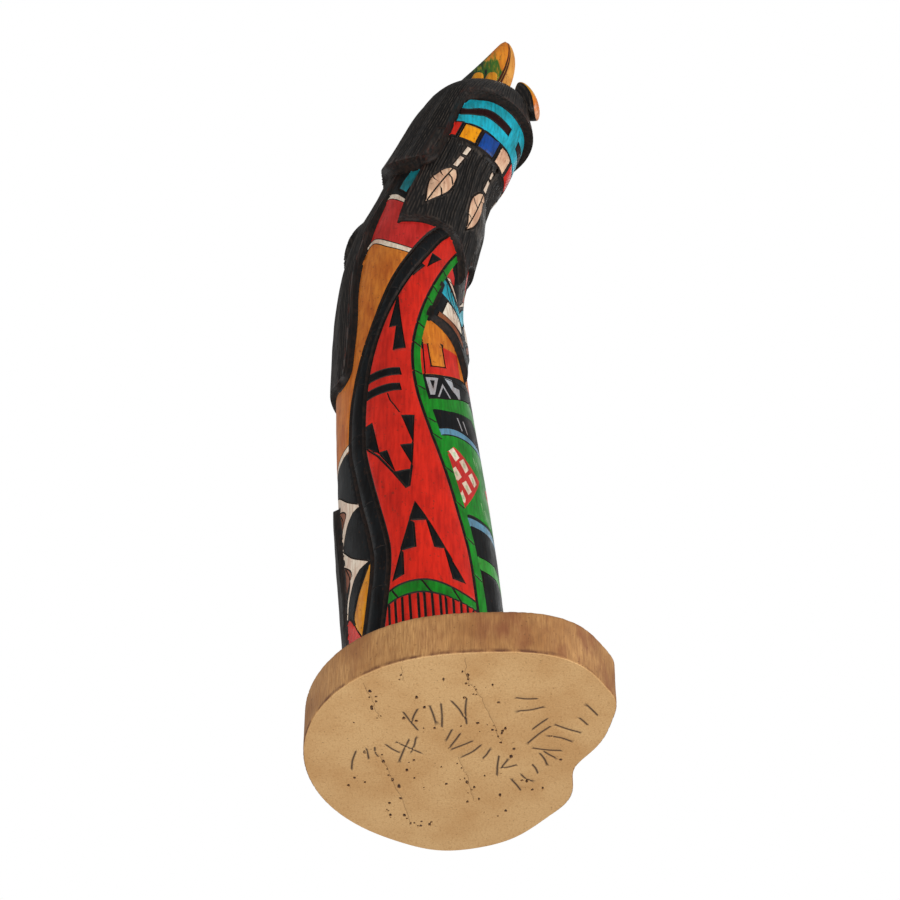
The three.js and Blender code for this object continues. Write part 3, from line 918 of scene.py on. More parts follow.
paint("green", [
    curve((-31, 31.5), (-22, 34.5), (-11, 36), (2, 36.2), (14, 34.6), (28, 32), (41, 29.5)),
    curve((41, 25.5), (27, 27.4), (12, 29.6), (-2, 30.8), (-14, 30.2), (-24, 28.6), (-33, 26)),
], 0.8)
for around, along in ((-21, 31.8), (1.5, 33.4), (23.5, 30)):
    burn(at((around - 2.6, along + 2.4), (around + 2.6, along - 2.4)), 0.6)
for k in range(FRINGE):
    around = -31 + k * 5.1 + random.uniform(-0.8, 0.8)
    top = float(np.interp(around, [-33, -14, 0, 14, 41], [26, 29.8, 30.4, 29.2, 25.6]))
    burn(at((around, top), (around + random.uniform(-1.5, 0.5), -3)), 0.75, 0.4)
print(len(fields), "fields,", len(sheet.cuts), "cut lines")

# %% [markdown]
# ## The front of the robe
# Between the green band and the middle of the front runs a stack of stripes and figures: a feather
# fan and a sash end under the beard, a red hooked figure on orange, silver zigzags on black, slate-blue
# lines between black and green, and a tilted lattice. They are traditional woven patterns, drawn
# here as plain polygons. A brown patch just below the beard's edge is painted shade, and a few pale
# mint streaks on the green beside the lattice are painted glints. The smallest marks are only on the
# near side.

# %% Top of the front panel: the fan, the bib and the hooked figure
paint("charcoal", [g_middle, at((FRONT, -3), (FRONT, 225))])
paint("crimson", at((50, 211), (58, 205), (58, 200), (45, 200)), 0.5)
# Painted shade: a brown patch just below the beard's edge at the middle of the front
paint("umber", at((63, 218), (69, 216), (69, 205), (65, 206)))
paint("turquoise", [
    curve((41, 199.5), (48, 198), (57, 194), (69, 186)),
    curve((69, 176), (62, 182), (54, 186), (45, 188), (38, 190)),
], 0.6)
for k in (5, 11, 17, 23):
    burn(at((42 + k, 199.5 - k * 0.45), (49 + k, 183.5 - k * 0.42)), 0.45, 0.25, NEAR_ONLY)
paint("cream", at((45.5, 201.5), (51, 201.8), (60, 196.5), (66, 191.5), (58, 195.3), (50, 199.2)), 0.4)
paint("cream", at((46.5, 186.3), (55, 184.4), (63, 181), (63.5, 171.8), (37.5, 175.5)), 0.6)
paint("umber", [
    curve((34.5, 175.8), (45, 174.4), (57, 171.6), (64, 167.5)),
    curve((63, 163.5), (55, 168), (44, 171), (32, 172.2)),
], 0.5)
paint("orange", [
    at((19, 168), (23, 168.8), (28, 170.5)),
    curve((40, 168), (51, 164.4), (58, 159.6), (63.5, 151.5), (67, 145)),
    at((67, 142), (18, 138)),
], 0.5)
paint("red", at(
    (13, 156), (22.5, 155.6), (23.5, 143.8), (39.5, 146.4), (38.8, 157.3), (57.5, 158.8),
    (58, 145.6), (37, 141.2), (14, 138.2),
))
burn(at((22.8, 156), (24, 143.8), (39.3, 146.2), (38.3, 157.6)), 0.8)

# %% Middle of the front panel: zigzags, stripes and the lattice
ZIGZAGS = [
    [(18, 136.8), (29.6, 138.1), (24.4, 128.2), (20.4, 127.6)],
    [(27, 127.6), (33.2, 135.8), (40.2, 129.6), (38.9, 129.2), (33.4, 134), (28.4, 127.6)],
    [(35.5, 139.8), (44.3, 140.7), (45.5, 137.2), (53.2, 138.2), (51.4, 130.2), (48.2, 133), (43.2, 134.6)],
]
LATTICE = (34.6, 99), (43.4, 95.4), (34.2, 89.4), (51.6, 90.8), (43, 84.6), (37.6, 78.6)
LATTICE_HALF = (4.7, 4.7, 4.7, 4.7, 4.7, 2.0)  # the last one is cut off by the lattice's corner


def marked(around, along, *corners):
    """A small mark at a place, from its corners measured from that place."""
    return at(*[(around + right, along + up) for right, up in corners])


paint("charcoal", at(
    (13, 137.6), (37, 140.9), (58, 145.2), (FRONT, 147),
    (FRONT, 136.5), (55, 133), (35, 127.8), (15, 124.8),
), 0.5)
burn(at((67, 146), (58, 145.2)), 0.5)
for zigzag in ZIGZAGS:
    paint("silver", at(*zigzag), sides=NEAR_ONLY)
paint("charcoal", at((21.4, 135.6), (26, 136.2), (23.6, 131.2)), sides=NEAR_ONLY)
paint("green", at(
    (15, 124.6), (35, 127.6), (55, 132.7), (FRONT, 136.2), (FRONT, 127), (35, 121.4), (17, 119.8),
))
for tick in ((43.3, 120), (50, 120.3)):
    paint("silver", marked(*tick, (0, 0), (1.4, 0.2), (5, -5.4), (4, -5.6)), sides=NEAR_ONLY)
paint("slate", [
    curve((22, 110), (34, 112.4), (46, 113.3), (FRONT, 113.6)),
    at((FRONT, 110.4)),
    curve((58, 110.4), (45, 109.8), (34, 108.8), (24, 107)),
], 0.5)
paint("green", [
    curve((24, 106.6), (34, 108.4), (45, 109.4), (58, 110)),
    at((FRONT, 110), (FRONT, 72.8), (37, 70.5), (28, 90)),
])
paint("crimson", at(
    (29.3, 99.5), (35, 103), (41, 101.4), (61.5, 93.3), (58, 89.6),
    (46, 79.6), (38, 73.5), (36, 78.5), (30, 91),
))
for place, half in zip(LATTICE, LATTICE_HALF):
    paint("cream", marked(*place, (-half, 1.0), (0, 3.5), (half, -0.6), (0.4, -3.5)))
    paint("mint", marked(*place, (-1.6, 0.9), (0.6, 1.2), (1.7, -1), (-0.7, -1.1)), sides=NEAR_ONLY)
# Painted glints: pale mint streaks on the green beside the lattice, where light catches the glossy paint
for place in ((57, 104), (61, 103), (58, 82), (63, 80), (66, 90)):
    paint("mint", marked(*place, (0, 0), (0.9, 0), (3.2, -5.5)), sides=NEAR_ONLY)

# %% Foot of the front panel
burn(curve((37, 70.2), (48, 71.5), (FRONT, 72.8)), 0.7)
paint("slate", at((38, 69.2), (60, 71), (FRONT, 71.6), (FRONT, 68), (40, 65.4)))
paint("charcoal", at((41, 65.6), (FRONT, 68), (FRONT, 55), (45.5, 52.6)), 0.5)
paint("leaf", at((44.5, 52.6), (58, 54), (FRONT, 55), (FRONT, 48.4), (46.5, 46.2)))
paint("charcoal", at((48, 46.6), (FRONT, 48.6), (FRONT, -3), (50.5, -3), (49, 30)), 0.5)
sheet.covers = hair_covers  # the bands lie over the ends of these fields
paint("green", g_outline)
paint("charcoal", s_outline)
print(len(fields), "fields")

# %% The mask: a slit-eyed turquoise face over a row of coloured blocks
sheet.covers = hair_covers[:1]
paint("charcoal", at((-12, 278), (FRONT, 278), (FRONT, 314), (-12, 314)))
mask_low = curve((-2.5, 290.4), (20, 292), (50, 292.4), (FRONT, 293))
mask_top = curve((FRONT, 313.4), (50, 313.6), (25, 312.8), (10, 311.2), (-8, 308.4))
paint("turquoise", [mask_low, mask_top], 0.6)
slit_top = curve((-6, 299.6), (4, 300.2), (16, 303), (30, 304.6), (57.5, 304.2))
slit_low = curve((57.5, 299.8), (27, 300.1), (15, 298.4), (-3, 295.8))
paint("maroon", [slit_top, slit_low], 0.9, 0.6)
BLOCKS = (("red", -4.6, 5.8), ("yellow", 8.6, 28.8), ("blue", 31.6, 54.2), ("shell", 57.2, FRONT))
for colour, start, end in BLOCKS:
    taller = 0.01 * (start + end)
    block = at((start, 290.6 + taller), (end, 291.4 + taller), (end, 282.2), (start, 281.8))
    paint(colour, block, 0.9, 0.5)
    if colour == "blue":
        fields.append(("red", block, FAR_ONLY))
burn(at((-8, 280.8), (FRONT, 280.8)), 1.2, 0.5)
print(len(fields), "fields")

# %% Beard and its two plumes on strings
hair_fields = {name: raised[name][1] for name in HAIRY}
for name in ("back hair", "hair knot", "beard", "hood", "pelt"):
    fields.append(("hair", hair_fields[name], BOTH_SIDES))
not_hair = []
sheet.covers = []
# Painted shade: a hair-coloured patch, shaped as a lock, darkens the far side of the chest below the beard
shaded_far_lock = at((46, 226), (48, 212), (53, 202), (59, 196), (66.5, 193))  # painted shade below the beard's far side, shaped as a lock of hair
sheet.cut(shaded_far_lock)
fields.append(("hair", np.vstack([shaded_far_lock, at((FRONT, 193), (FRONT, 226))]), FAR_ONLY))


def plume(string, leaf, ribs, sides=BOTH_SIDES):
    """A feather hanging on a knotted string: two white cord ends, a leaf and its dark ribs."""
    for knot in string:
        paint("cream", at(*knot), 0.7, 0.35, sides)
        not_hair.append(at(*knot))
    paint("shell", leaf, 0.9, 0.45, sides)
    not_hair.append(leaf)
    for rib in ribs:
        burn(curve(*rib), 0.6, 0.35, sides)


plume(
    [
        [(22, 278.4), (28.4, 278.2), (26.6, 272.8), (20.4, 272.4)],
        [(19.4, 271.4), (26, 271.2), (22.6, 263.6), (16.4, 263.6)],
    ],
    np.vstack([
        curve((16, 261.8), (10.5, 259.4), (6.4, 255.8), (2.2, 250.5), (3.4, 244), (7, 235.8)),
        curve((17, 241.4), (24, 247), (26.4, 252.6), (26.2, 258), (23, 261.8)),
    ]),
    [
        [(19, 262), (13.6, 251), (7.6, 236.6)],
        [(21.4, 255.8), (25, 252)],
        [(3, 253), (6, 251.4)],
        [(8, 258), (10, 256)],
        [(16, 247), (18.6, 243.4)],
    ],
)
plume(
    [
        [(60.8, 276.8), (66.2, 276.6), (66.2, 272.6), (61.6, 272)],
        [(61, 271.2), (66.4, 271.2), (66, 263.2), (59.4, 263.2)],
    ],
    np.vstack([
        curve((60, 261.4), (54, 258.4), (48.6, 252.4), (48.9, 246), (52.5, 239.6), (53.4, 233.6)),
        curve((62.4, 239.6), (66.4, 245), (68, 251.5), (68, 258), (65, 261.4)),
    ]),
    [[(62.6, 262), (59.4, 249), (54, 235)], [(50, 254.6), (53.6, 252.6)], [(50.4, 243.4), (54, 243)]],
    NEAR_ONLY,
)
fields.append(("hair", hair_fields["hood"], BOTH_SIDES))  # the hood lies over all of it
print(len(fields), "fields,", len(sheet.cuts), "cut lines")

# %% [markdown]
# ## Combed hair
# The hair, the beard and the fox pelt are combed with a fine gouge, so they are covered with narrow
# ridges that catch the light. Real strands would be far too many faces, and a bump in the material
# would be lost from the mesh. So valley and ridge lines, a little over a millimetre from one valley
# to the next, run the length of each area as cut lines. All of them follow the same slow sideways
# drift, so they wave together and never cross.

# %% Cut the strands
STRAND_SPACING = 0.56  # from a valley to a ridge
STRAND_DEPTH = 0.34
STRAND_STEP = 2.3  # between the points of a strand
STRAND_ENDS = (0, 9, 4, 13)  # pairs end this far below the crown in turn, so that they don't crowd there
EDGE_GAP = 0.65


def drift(x, y):
    """How far the strands drift sideways at a point of the sheet."""
    return 0.7 * np.sin(y / 23 + x / 9) + 0.3 * np.sin(y / 7.3 + x / 4 + 1)


def comb():
    """Cuts the valleys and ridges of the hair, broken where the hair ends."""
    columns = np.arange(-180 * PER_DEGREE + STRAND_SPACING, -0.3, STRAND_SPACING)
    total = 0
    for number, column in enumerate(columns):
        top = SHEET_TOP - 1.5 - STRAND_ENDS[number // 2 % len(STRAND_ENDS)]
        heights = np.arange(1.0 + random.random(), top, STRAND_STEP)
        line = np.stack([column + drift(column, heights), heights], 1)
        line[:, 0] += [random.uniform(-0.1, 0.1) for _ in heights]
        held = (line[:, 0] > -180 * PER_DEGREE + 0.2) & (line[:, 0] < -0.2)
        grown = np.zeros(len(line), bool)
        for outline in hair_fields.values():
            grown |= inside(line, outline)
        for outline in not_hair:
            grown &= ~inside(line, outline) & (distance_to(line, ring(outline)) > EDGE_GAP)
        for name in HAIRY:
            grown &= distance_to(line, raised[name][0]) > EDGE_GAP
        grown &= held
        sink = 0 if number % 2 else -STRAND_DEPTH * random.uniform(0.7, 1.15)
        breaks = np.flatnonzero(np.diff(np.concatenate([[0], grown.astype(int), [0]])))
        for start, end in zip(breaks[::2], breaks[1::2]):
            if end - start > 2:
                sheet.cut(line[start:end], (sink, sink), step=4)
                total += 1
    return total


print(comb(), "strand lines")

# %% [markdown]
# ## Wrap the sheet round the root
# The marked half is meshed once. The other half is the same points mirrored, each half with its own
# depths, since a few small strokes are left off the hidden side. Every point is then carried onto
# the root, lifted with the raised areas, and sunk by its groove straight into the wood.

# %% Mesh and wrap
MESH_SPACING, MESH_CLEARANCE = 1.45, 0.62
STRAP_CROWN, STRAP_HALF = 0.8, 3.0  # the S band is a rounded strap
KNIFE_MARKS, KNIFE_SIZE = 0.13, 7  # depth and width of the facets that the knife left
FAR_HOOD_FLATTER = 0.65
SWELLS = [  # degrees from the face's middle, width in degrees, millimetres, and where it starts and ends
    (25, 45, 2.0, (272, 286), (312, 330)),
    (-6, 48, 2.7, (318, 329), (332, 334)),
]


def far_flattening(flat):
    """How much flatter the hood lies at each point on the far side: most beside the mask."""
    along = along_root(flat[:, 1])
    beside_mask = ease(-108, -75, flat[:, 0] / PER_DEGREE + FACE_ANGLE)
    return FAR_HOOD_FLATTER * beside_mask * ease(248, 262, along) * (1 - ease(296, 306, along))


def swelling(places):
    """How far the head swells beyond the round root at each point."""
    aside = places[:, 0] / PER_DEGREE
    along = along_root(places[:, 1])
    total = np.zeros(len(places))
    for middle, width, most, start, end in SWELLS:
        bulge = np.exp(-(((aside - middle) / width) ** 2))
        total += most * bulge * ease(*start, along) * (1 - ease(*end, along))
    return total


def wrapped():
    """Both halves of the sheet on the root: points in metres, sheet places, faces, scorch and depth."""
    flat, faces, sunk, scorched = sheet.mesh(MESH_SPACING, MESH_CLEARANCE, hair_fields.values())
    middle = flat[:, 0] > -1e-4
    sunk[middle] = sunk[middle].min(1)[:, None]
    strap = STRAP_CROWN * (1 - ease(0, STRAP_HALF, distance_to(flat, s_middle)))
    lift = np.maximum(lift_of(flat), strap)
    lifts = np.concatenate([lift, lift * (1 - far_flattening(flat))])
    places = np.vstack([flat, flat * [-1, 1]])
    faces = np.vstack([faces, faces[:, ::-1] + len(flat)])
    depth, scorch = sunk.T.ravel(), scorched.T.ravel()
    spots = root_surface(places[:, 0], places[:, 1], lifts + swelling(places))
    knife = np.array([noise.noise(Vector(spot) / (KNIFE_SIZE * MM)) for spot in spots]) * KNIFE_MARKS
    spots += outward(places[:, 0], places[:, 1]) * (depth + knife)[:, None] * MM
    return spots, places, faces, scorch, depth


spots, places, faces, scorch, depths = wrapped()
print(len(spots), "points and", len(faces), "faces")

# %% Give every face its paint
def painted_faces(places, faces, scorch):
    """The name of each face's colour: the last field that it lies in, or burnt in a groove and at a wall's
    foot, where the burnt colour is also painted shade.
    """
    middles = places[faces].mean(1)
    far = middles[:, 0] > 0
    folded = np.stack([-abs(middles[:, 0]), middles[:, 1]], 1)
    names = np.full(len(faces), "ochre", dtype="<U10")
    for colour, outline, sides in fields:
        low, high = outline.min(0), outline.max(0)
        near_it = np.flatnonzero(((folded >= low) & (folded <= high)).all(1))
        hit = near_it[inside(folded[near_it], outline)]
        shown = np.array(sides)[far[hit].astype(int)] > 0
        names[hit[shown]] = colour
    most = scorch[faces].max(1)
    names[most > HAIR_SCORCH] = "hair"
    names[most > BURNT_SCORCH] = "burnt"
    return names


colours = painted_faces(places, faces, scorch)
print({name: int((colours == name).sum()) for name in PAINTS})

# %% [markdown]
# ## Three finishes on the root
# The paint is acrylic thinned with water and brushed onto bare wood. It soaks in, so to the eye it is
# satin, a little patchy from one brush stroke to the next, and the grain shows through it as fine
# darker streaks that run up the root. The colour itself comes from an attribute on the mesh, and
# the noise only varies it. The hair is stained nearly black and combed: its ridges are painted
# lighter, partly as rubbing and partly as a painted highlight where they catch the light, and the hems
# are worn back to a red-brown undercoat. The burnt lines are plain charred wood, and the same charred
# colour paints the shade at the foot of each raised wall.

# %% Material: thin acrylic on carved cottonwood
def streaked(tree, where, colour):
    """A colour with the grain, the patchiness and the dirt that show through thin paint."""
    grain = patches(tree, where, 1.0, (1, 1, 9), 0.4, 0.68, 4.0)
    strokes = patches(tree, where, 6, (1, 1, 2), 0.38, 0.66, 6.0)
    dirt = patches(tree, where, 1.1, (1, 1, 1.5), 0.62, 0.7, 5.0)
    colour = mixed(tree, times(tree, strokes, 0.55), colour, linear("#CC9C8C"), "MULTIPLY")
    colour = mixed(tree, times(tree, grain, 0.5), colour, linear("#B08468"), "MULTIPLY")
    return mixed(tree, times(tree, dirt, 0.5), colour, linear("#3A2418")), grain, strokes


def acrylic_on_cottonwood():
    material, tree, shader, where = new_material("acrylic_on_cottonwood")
    paint_colour = add_node(tree, "Attribute", attribute_name="paint").outputs["Color"]
    colour, grain, strokes = streaked(tree, where, paint_colour)
    paleness = add_node(tree, "RGBToBW", {0: paint_colour}).outputs[0]
    gloss = ranged(tree, paleness, 0, 0.08, 0.04, 0.22)  # the black paint is flatter than the colours
    finish_shader(tree, shader, colour, ranged(tree, strokes, 0, 1, 0.32, 0.46), gloss, grain)
    return material


acrylic = acrylic_on_cottonwood()
print("material", acrylic.name)

# %% Materials: stained hair and burnt line
def stained_hair():
    material, tree, shader, where = new_material("stained_combed_hair")
    strands = patches(tree, where, 0.8, (1, 1, 16), 0.4, 0.66, 4.0)
    flecks = patches(tree, where, 0.9, (1, 1, 4), 0.46, 0.7, 5.0)
    # the ridges get a lighter colour: partly rubbing, partly a painted highlight where light catches them
    lit = times(tree, ranged(tree, attribute(tree, "ridge_highlight_and_rub"), 0.45, 1), strands)
    bare = times(tree, attribute(tree, "worn"), flecks)
    colour = mixed(tree, times(tree, lit, 0.8), linear("#0E0B0A"), linear("#4E443C"))
    colour = mixed(tree, times(tree, bare, 0.75), colour, linear("#6A2E16"))
    finish_shader(tree, shader, colour, 0.44, 0.24, strands, 0.35, 0.15)
    return material


def burnt_line_and_wall_shade():
    # charred wood for the burnt lines, and the painted shade at the foot of the raised walls
    material, tree, shader, where = new_material("burnt_line_and_wall_shade")
    ash = patches(tree, where, 1.2, (1, 1, 2), 0.4, 0.7)
    finish_shader(tree, shader, mixed(tree, ash, linear("#0E0A08"), linear("#2A1A12")), 0.6, 0.25)
    return material


hair_stain, char_and_shade = stained_hair(), burnt_line_and_wall_shade()
print("materials", hair_stain.name, char_and_shade.name)

# %% [markdown]
# ## The figure
# The wrapped points become one closed piece. The two half sheets are merged where they meet, the row
# round the crown is drawn together to a point, and the foot is filled. Each corner of each face keeps
# its own paint colour, so colours change sharply at a cut line. The piece gets a flat map of the
# sheet as well, in a lower and an upper half side by side, for whoever bakes its paint to a picture.

# %% Attributes of the figure
FINISHES = (acrylic, hair_stain, char_and_shade, wood)
FINISH_OF = {"hair": FINISHES.index(hair_stain), "burnt": FINISHES.index(char_and_shade)}
HALF_TURN = 180 * PER_DEGREE
MAP_EDGE = 0.006
OVERLAP = 4  # millimetres that the map's halves share, so that no face is cut


def flat_map(places, faces):
    """Where each face corner lies on the flat map, from 0 to 1 both ways."""
    half = (SHEET_TOP + OVERLAP) / 2
    upper = places[faces].mean(1)[:, 1] > SHEET_TOP / 2
    corners = places[faces]
    across = (corners[:, :, 0] + HALF_TURN) / (2 * HALF_TURN)
    up = (corners[:, :, 1] - np.where(upper, SHEET_TOP - half, 0)[:, None]) / half
    u = MAP_EDGE + (0.5 - 2 * MAP_EDGE) * across + 0.5 * upper[:, None]
    return np.stack([u, MAP_EDGE + 0.93 * up], 2)


WORN_HEMS = (("hood", 0.8, 3.6), ("beard", 0.4, 2.4), ("back hair", 0.6, 2.6))  # most, and its reach


def wear(places):
    """How worn each point is: most along the hems of the hair, but not on their steep walls."""
    folded = np.stack([-abs(places[:, 0]), places[:, 1]], 1)
    amount = np.zeros(len(places))
    along = along_root(places[:, 1])
    worn_parts = 1 - ease(262, 276, along) + 0.6 * ease(302, 308, along)
    for name, most, reach in WORN_HEMS:
        edge, outline = raised[name][:2]
        inward = distance_to(folded, edge) * np.where(inside(folded, outline), 1, -1)
        amount = np.maximum(amount, most * ease(0, 1, inward) * (1 - ease(1, reach, inward)))
    return amount * worn_parts


def highlight_and_rub(places, depths):
    """How much each point of the hair is lightened, by rubbing and by painted highlight: ridges are,
    valleys and walls are not.
    """
    folded = np.stack([-abs(places[:, 0]), places[:, 1]], 1)
    amount = np.clip(1 - depths / -STRAND_DEPTH, 0, 1)
    for name in hair_fields:
        amount *= 0.6 + 0.4 * ease(0.3, 1.2, distance_to(folded, raised[name][0]))
    return amount


ridge_highlight_and_rub = highlight_and_rub(places, depths)
print("map", flat_map(places, faces).min().round(3), "to", flat_map(places, faces).max().round(3))

# %% Build the figure
SAME_POINT = 0.005
SHARPEST_SMOOTH = math.radians(50)


def close_up(bm):
    """Merges the half sheets and closes the crown and the foot."""
    bmesh.ops.remove_doubles(bm, verts=bm.verts, dist=SAME_POINT * MM)
    rims = [v for v in bm.verts if any(e.is_boundary for e in v.link_edges)]
    crown = [v for v in rims if v.co.z > base_high.z * 2 * MM]
    top = sum((v.co for v in crown), Vector()) / len(crown)
    bmesh.ops.pointmerge(bm, verts=crown, merge_co=top)
    filled = bmesh.ops.holes_fill(bm, edges=[e for e in bm.edges if e.is_boundary])["faces"]
    for face in filled:
        face.material_index = FINISHES.index(wood)
    bmesh.ops.triangulate(bm, faces=filled)
    bmesh.ops.recalc_face_normals(bm, faces=bm.faces)


def build_figure():
    mesh = bpy.data.meshes.new("carved_root")
    mesh.from_pydata(spots.tolist(), [], faces.tolist())
    shades = np.array([linear(PAINTS[name]) for name in colours])
    layer = mesh.color_attributes.new("paint", "FLOAT_COLOR", "CORNER")
    layer.data.foreach_set("color", shades.repeat(3, 0).ravel())
    mesh.uv_layers.new(name="OFBake").data.foreach_set("uv", flat_map(places, faces).ravel())
    for name, values in (("ridge_highlight_and_rub", ridge_highlight_and_rub), ("worn", wear(places))):
        mesh.attributes.new(name, "FLOAT", "POINT").data.foreach_set("value", values)
    mesh.polygons.foreach_set("material_index", [FINISH_OF.get(name, 0) for name in colours])
    bm = bmesh.new()
    bm.from_mesh(mesh)
    close_up(bm)
    bm.to_mesh(mesh)
    print("figure", len(bm.faces), "faces,", sum(not e.is_manifold for e in bm.edges), "open edges")
    bm.free()
    for material in FINISHES:
        mesh.materials.append(material)
    mesh.shade_smooth()
    mesh.set_sharp_from_angle(angle=SHARPEST_SMOOTH)
    return mesh


def place_on_root(name, mesh):
    """Puts a finished mesh of the figure in the scene."""
    piece = bpy.data.objects.new(name, mesh)
    bpy.context.scene.collection.objects.link(piece)
    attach(piece, "root")
    return piece


carved_root = place_on_root("carved_root", build_figure())
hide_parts("figure")

# %% [markdown]
# ## Crown feathers and brow petal
# On top of the head stands a tall flat blade of feathers with two short tufts before it, and a petal
# lies down over the brow. Each is a flat shape that narrows from ring to ring, so a first ring is
# extruded again and again, each time moved to its place, and the end is drawn together. A stretched
# sphere would be quicker, but its rings wouldn't follow the bend. Four numbers are kept on each
# point for the paint: how far along the piece it is, how far round it, how far across, and how far
# out of its face.

# %% A piece drawn out ring by ring
RING_POINTS = 96


def drawn_out(name, place, rings, start, end):
    """A closed mesh whose points come at place(along, turn), with both numbers from 0 to 1."""
    bm = bmesh.new()
    turn = bm.verts.layers.float.new("turn")
    along = bm.verts.layers.float.new("along")
    for i, v in enumerate(bmesh.ops.create_circle(bm, segments=RING_POINTS, radius=MM)["verts"]):
        v[turn] = i / RING_POINTS
        v.co = place(0, v[turn])
    first = bm.verts[:]
    edge = bm.edges[:]
    for k in range(1, rings):
        grown = bmesh.ops.extrude_edge_only(bm, edges=edge)["geom"]
        last = [g for g in grown if isinstance(g, bmesh.types.BMVert)]
        for v in last:
            v[along] = k / (rings - 1)
            v.co = place(v[along], v[turn])
        edge = [g for g in grown if isinstance(g, bmesh.types.BMEdge) and g.is_boundary]
    bmesh.ops.pointmerge(bm, verts=last, merge_co=end)
    bmesh.ops.pointmerge(bm, verts=first, merge_co=start)
    across = bm.verts.layers.float.new("across")
    outer = bm.verts.layers.float.new("outer")
    for v in bm.verts:
        v[across] = math.cos(math.tau * v[turn])
        v[outer] = math.sin(math.tau * v[turn])
    bmesh.ops.triangulate(bm, faces=[f for f in bm.faces if len(f.verts) > 4])
    bmesh.ops.recalc_face_normals(bm, faces=bm.faces)
    mesh = bpy.data.meshes.new(name)
    bm.to_mesh(mesh)
    print(name, len(bm.faces), "faces,", sum(not e.is_manifold for e in bm.edges), "open edges")
    bm.free()
    mesh.shade_smooth()
    return mesh


# %% Paint on the crown
def brushed(name, ground, layers):
    """Acrylic brushed on in layers over a ground colour.

    A layer is a colour, the attribute that it follows, the values where it starts and where it covers
    all, how ragged its edge is, and how much that edge leans."""
    material, tree, shader, where = new_material(name)
    hairs = patches(tree, where, 1.4, (1, 1, 5), 0.3, 0.7, 5.0)
    ragged = add_node(tree, "Math", {0: hairs, 1: 0.5}, operation="SUBTRACT").outputs[0]
    across = attribute(tree, "across")
    colour = linear(ground)
    for hex_colour, followed, low, high, rag, lean in layers:
        value = attribute(tree, followed)
        for part, weight in ((across, lean), (ragged, rag)):
            inputs = {0: part, 1: weight, 2: value}
            value = add_node(tree, "Math", inputs, operation="MULTIPLY_ADD").outputs[0]
        colour = mixed(tree, ranged(tree, value, low, high), colour, linear(hex_colour))
    colour, grain, _ = streaked(tree, where, colour)
    finish_shader(tree, shader, colour, 0.44, 0.25, grain)
    return material


# %% The blade and the tufts
BEND = 1.6
GROOVE_TURNS = (13, 15, 81, 83)
SHOULDER, SHOULDER_BEND = -8.5, 3.2  # where the blade's left side is held back, and how softly
CUT_DEPTH = 0.5
FEATHER_RINGS, LAST_RING = 34, 0.985  # the last ring lies a little short of the tip


def feather_mesh(name, base, tip, half, thick, turned, narrowing, grooved=False):
    """A flat feather that narrows and bends from its base to its tip."""
    foot, point = Vector(base), Vector(tip)
    side = Vector((math.cos(math.radians(turned)), math.sin(math.radians(turned)), 0))
    face = Vector((-side.y, side.x, 0))

    def place(along, turn):
        along = along * LAST_RING
        bent = point.lerp(foot, (1 - along) ** BEND)
        bent.z = foot.z + (point.z - foot.z) * along
        narrow = (1 - along) ** narrowing
        sink = CUT_DEPTH if grooved and round(turn * RING_POINTS) in GROOVE_TURNS else 0
        depth = thick / 2 * math.sqrt(narrow) - sink * min(1, narrow * 2)
        angle = turn * math.tau
        spot = bent + side * half * narrow * math.cos(angle) + face * depth * math.sin(angle)
        if grooved:
            spot.x = SHOULDER + SHOULDER_BEND * math.log1p(math.exp((spot.x - SHOULDER) / SHOULDER_BEND))
        return spot * MM

    return drawn_out(name, place, FEATHER_RINGS, foot * MM, point * MM)


blade_paint = brushed("acrylic_on_crown_blade", "#141C14", [
    ("#3E7020", "along", 0.45, 0.55, 0.32, 0.18),
    ("#8C8A24", "along", 0.60, 0.74, 0.5, 0.11),
    ("#EC9224", "along", 0.67, 0.78, 0.28, 0.09),
    ("#F0AE52", "across", 0.6, 0.63, 0.0, 0.0),
    ("#541A0C", "groove", 0.15, 0.35, 0.0, 0.0),
])
tuft_paint = brushed("acrylic_on_crown_tufts", "#15140F", [("#E3A21E", "along", 0.1, 0.2, 0.3, 0.12)])
blade = feather_mesh("crown_blade", (-5.8, 1, 328), (20.6, 0, 384), 17.6, 7.5, 0, 0.68, True)
blade.materials.append(blade_paint)
turns = [round(item.value * RING_POINTS) for item in blade.attributes["turn"].data]
groove = blade.attributes.new("groove", "FLOAT", "POINT")
groove.data.foreach_set("value", [float(turn in GROOVE_TURNS) for turn in turns])
place_on_root("crown_blade", blade)
for name, base, tip, half, thick, turned in (
    ("left_tuft", (6.3, -12.5, 335), (8.9, -13.5, 343.8), 3.0, 3.2, -8),
    ("right_tuft", (11.2, -12.5, 334), (14.6, -13.5, 344.2), 2.9, 3.0, 0),
):
    tuft = feather_mesh(name, base, tip, half, thick, turned, 0.16)
    tuft.materials.append(tuft_paint)
    place_on_root(name, tuft)

# %% The petal over the brow
PETAL_HEADING, PETAL_MIDDLE = 80, Vector((21.8, -1.9, 330))
PETAL_REACH, PETAL_RISE = 10.4, 18.3
PETAL_FROM, PETAL_TO = 74, -5
PETAL_HALF, PETAL_THICK = 5.5, 4.2
PETAL_INNER = 3.8  # how much further it reaches in than out
PETAL_RINGS, PETAL_INSET = 40, 0.01  # the end rings lie a little inside the ends
INNER_FACE = 0.02  # faces no further out than this are stained as hair


def petal_place(along, turn):
    """A place on the petal, which follows part of an ellipse over the front of the head."""
    along = PETAL_INSET + (1 - 2 * PETAL_INSET) * along
    narrow = math.sqrt(1 - (2 * along - 1) ** 4)
    out = PETAL_THICK / 2 * narrow * math.sin(turn * math.tau)
    out *= PETAL_INNER if out < 0 else 1
    angle = math.radians(PETAL_FROM + (PETAL_TO - PETAL_FROM) * along)
    wide = PETAL_HALF * narrow * math.cos(turn * math.tau)
    y, z = -(PETAL_REACH + out) * math.cos(angle), (PETAL_RISE + out) * math.sin(angle)
    heading = math.radians(PETAL_HEADING)
    cos, sin = math.cos(heading), math.sin(heading)
    return (PETAL_MIDDLE + Vector((wide * cos - y * sin, wide * sin + y * cos, z))) * MM


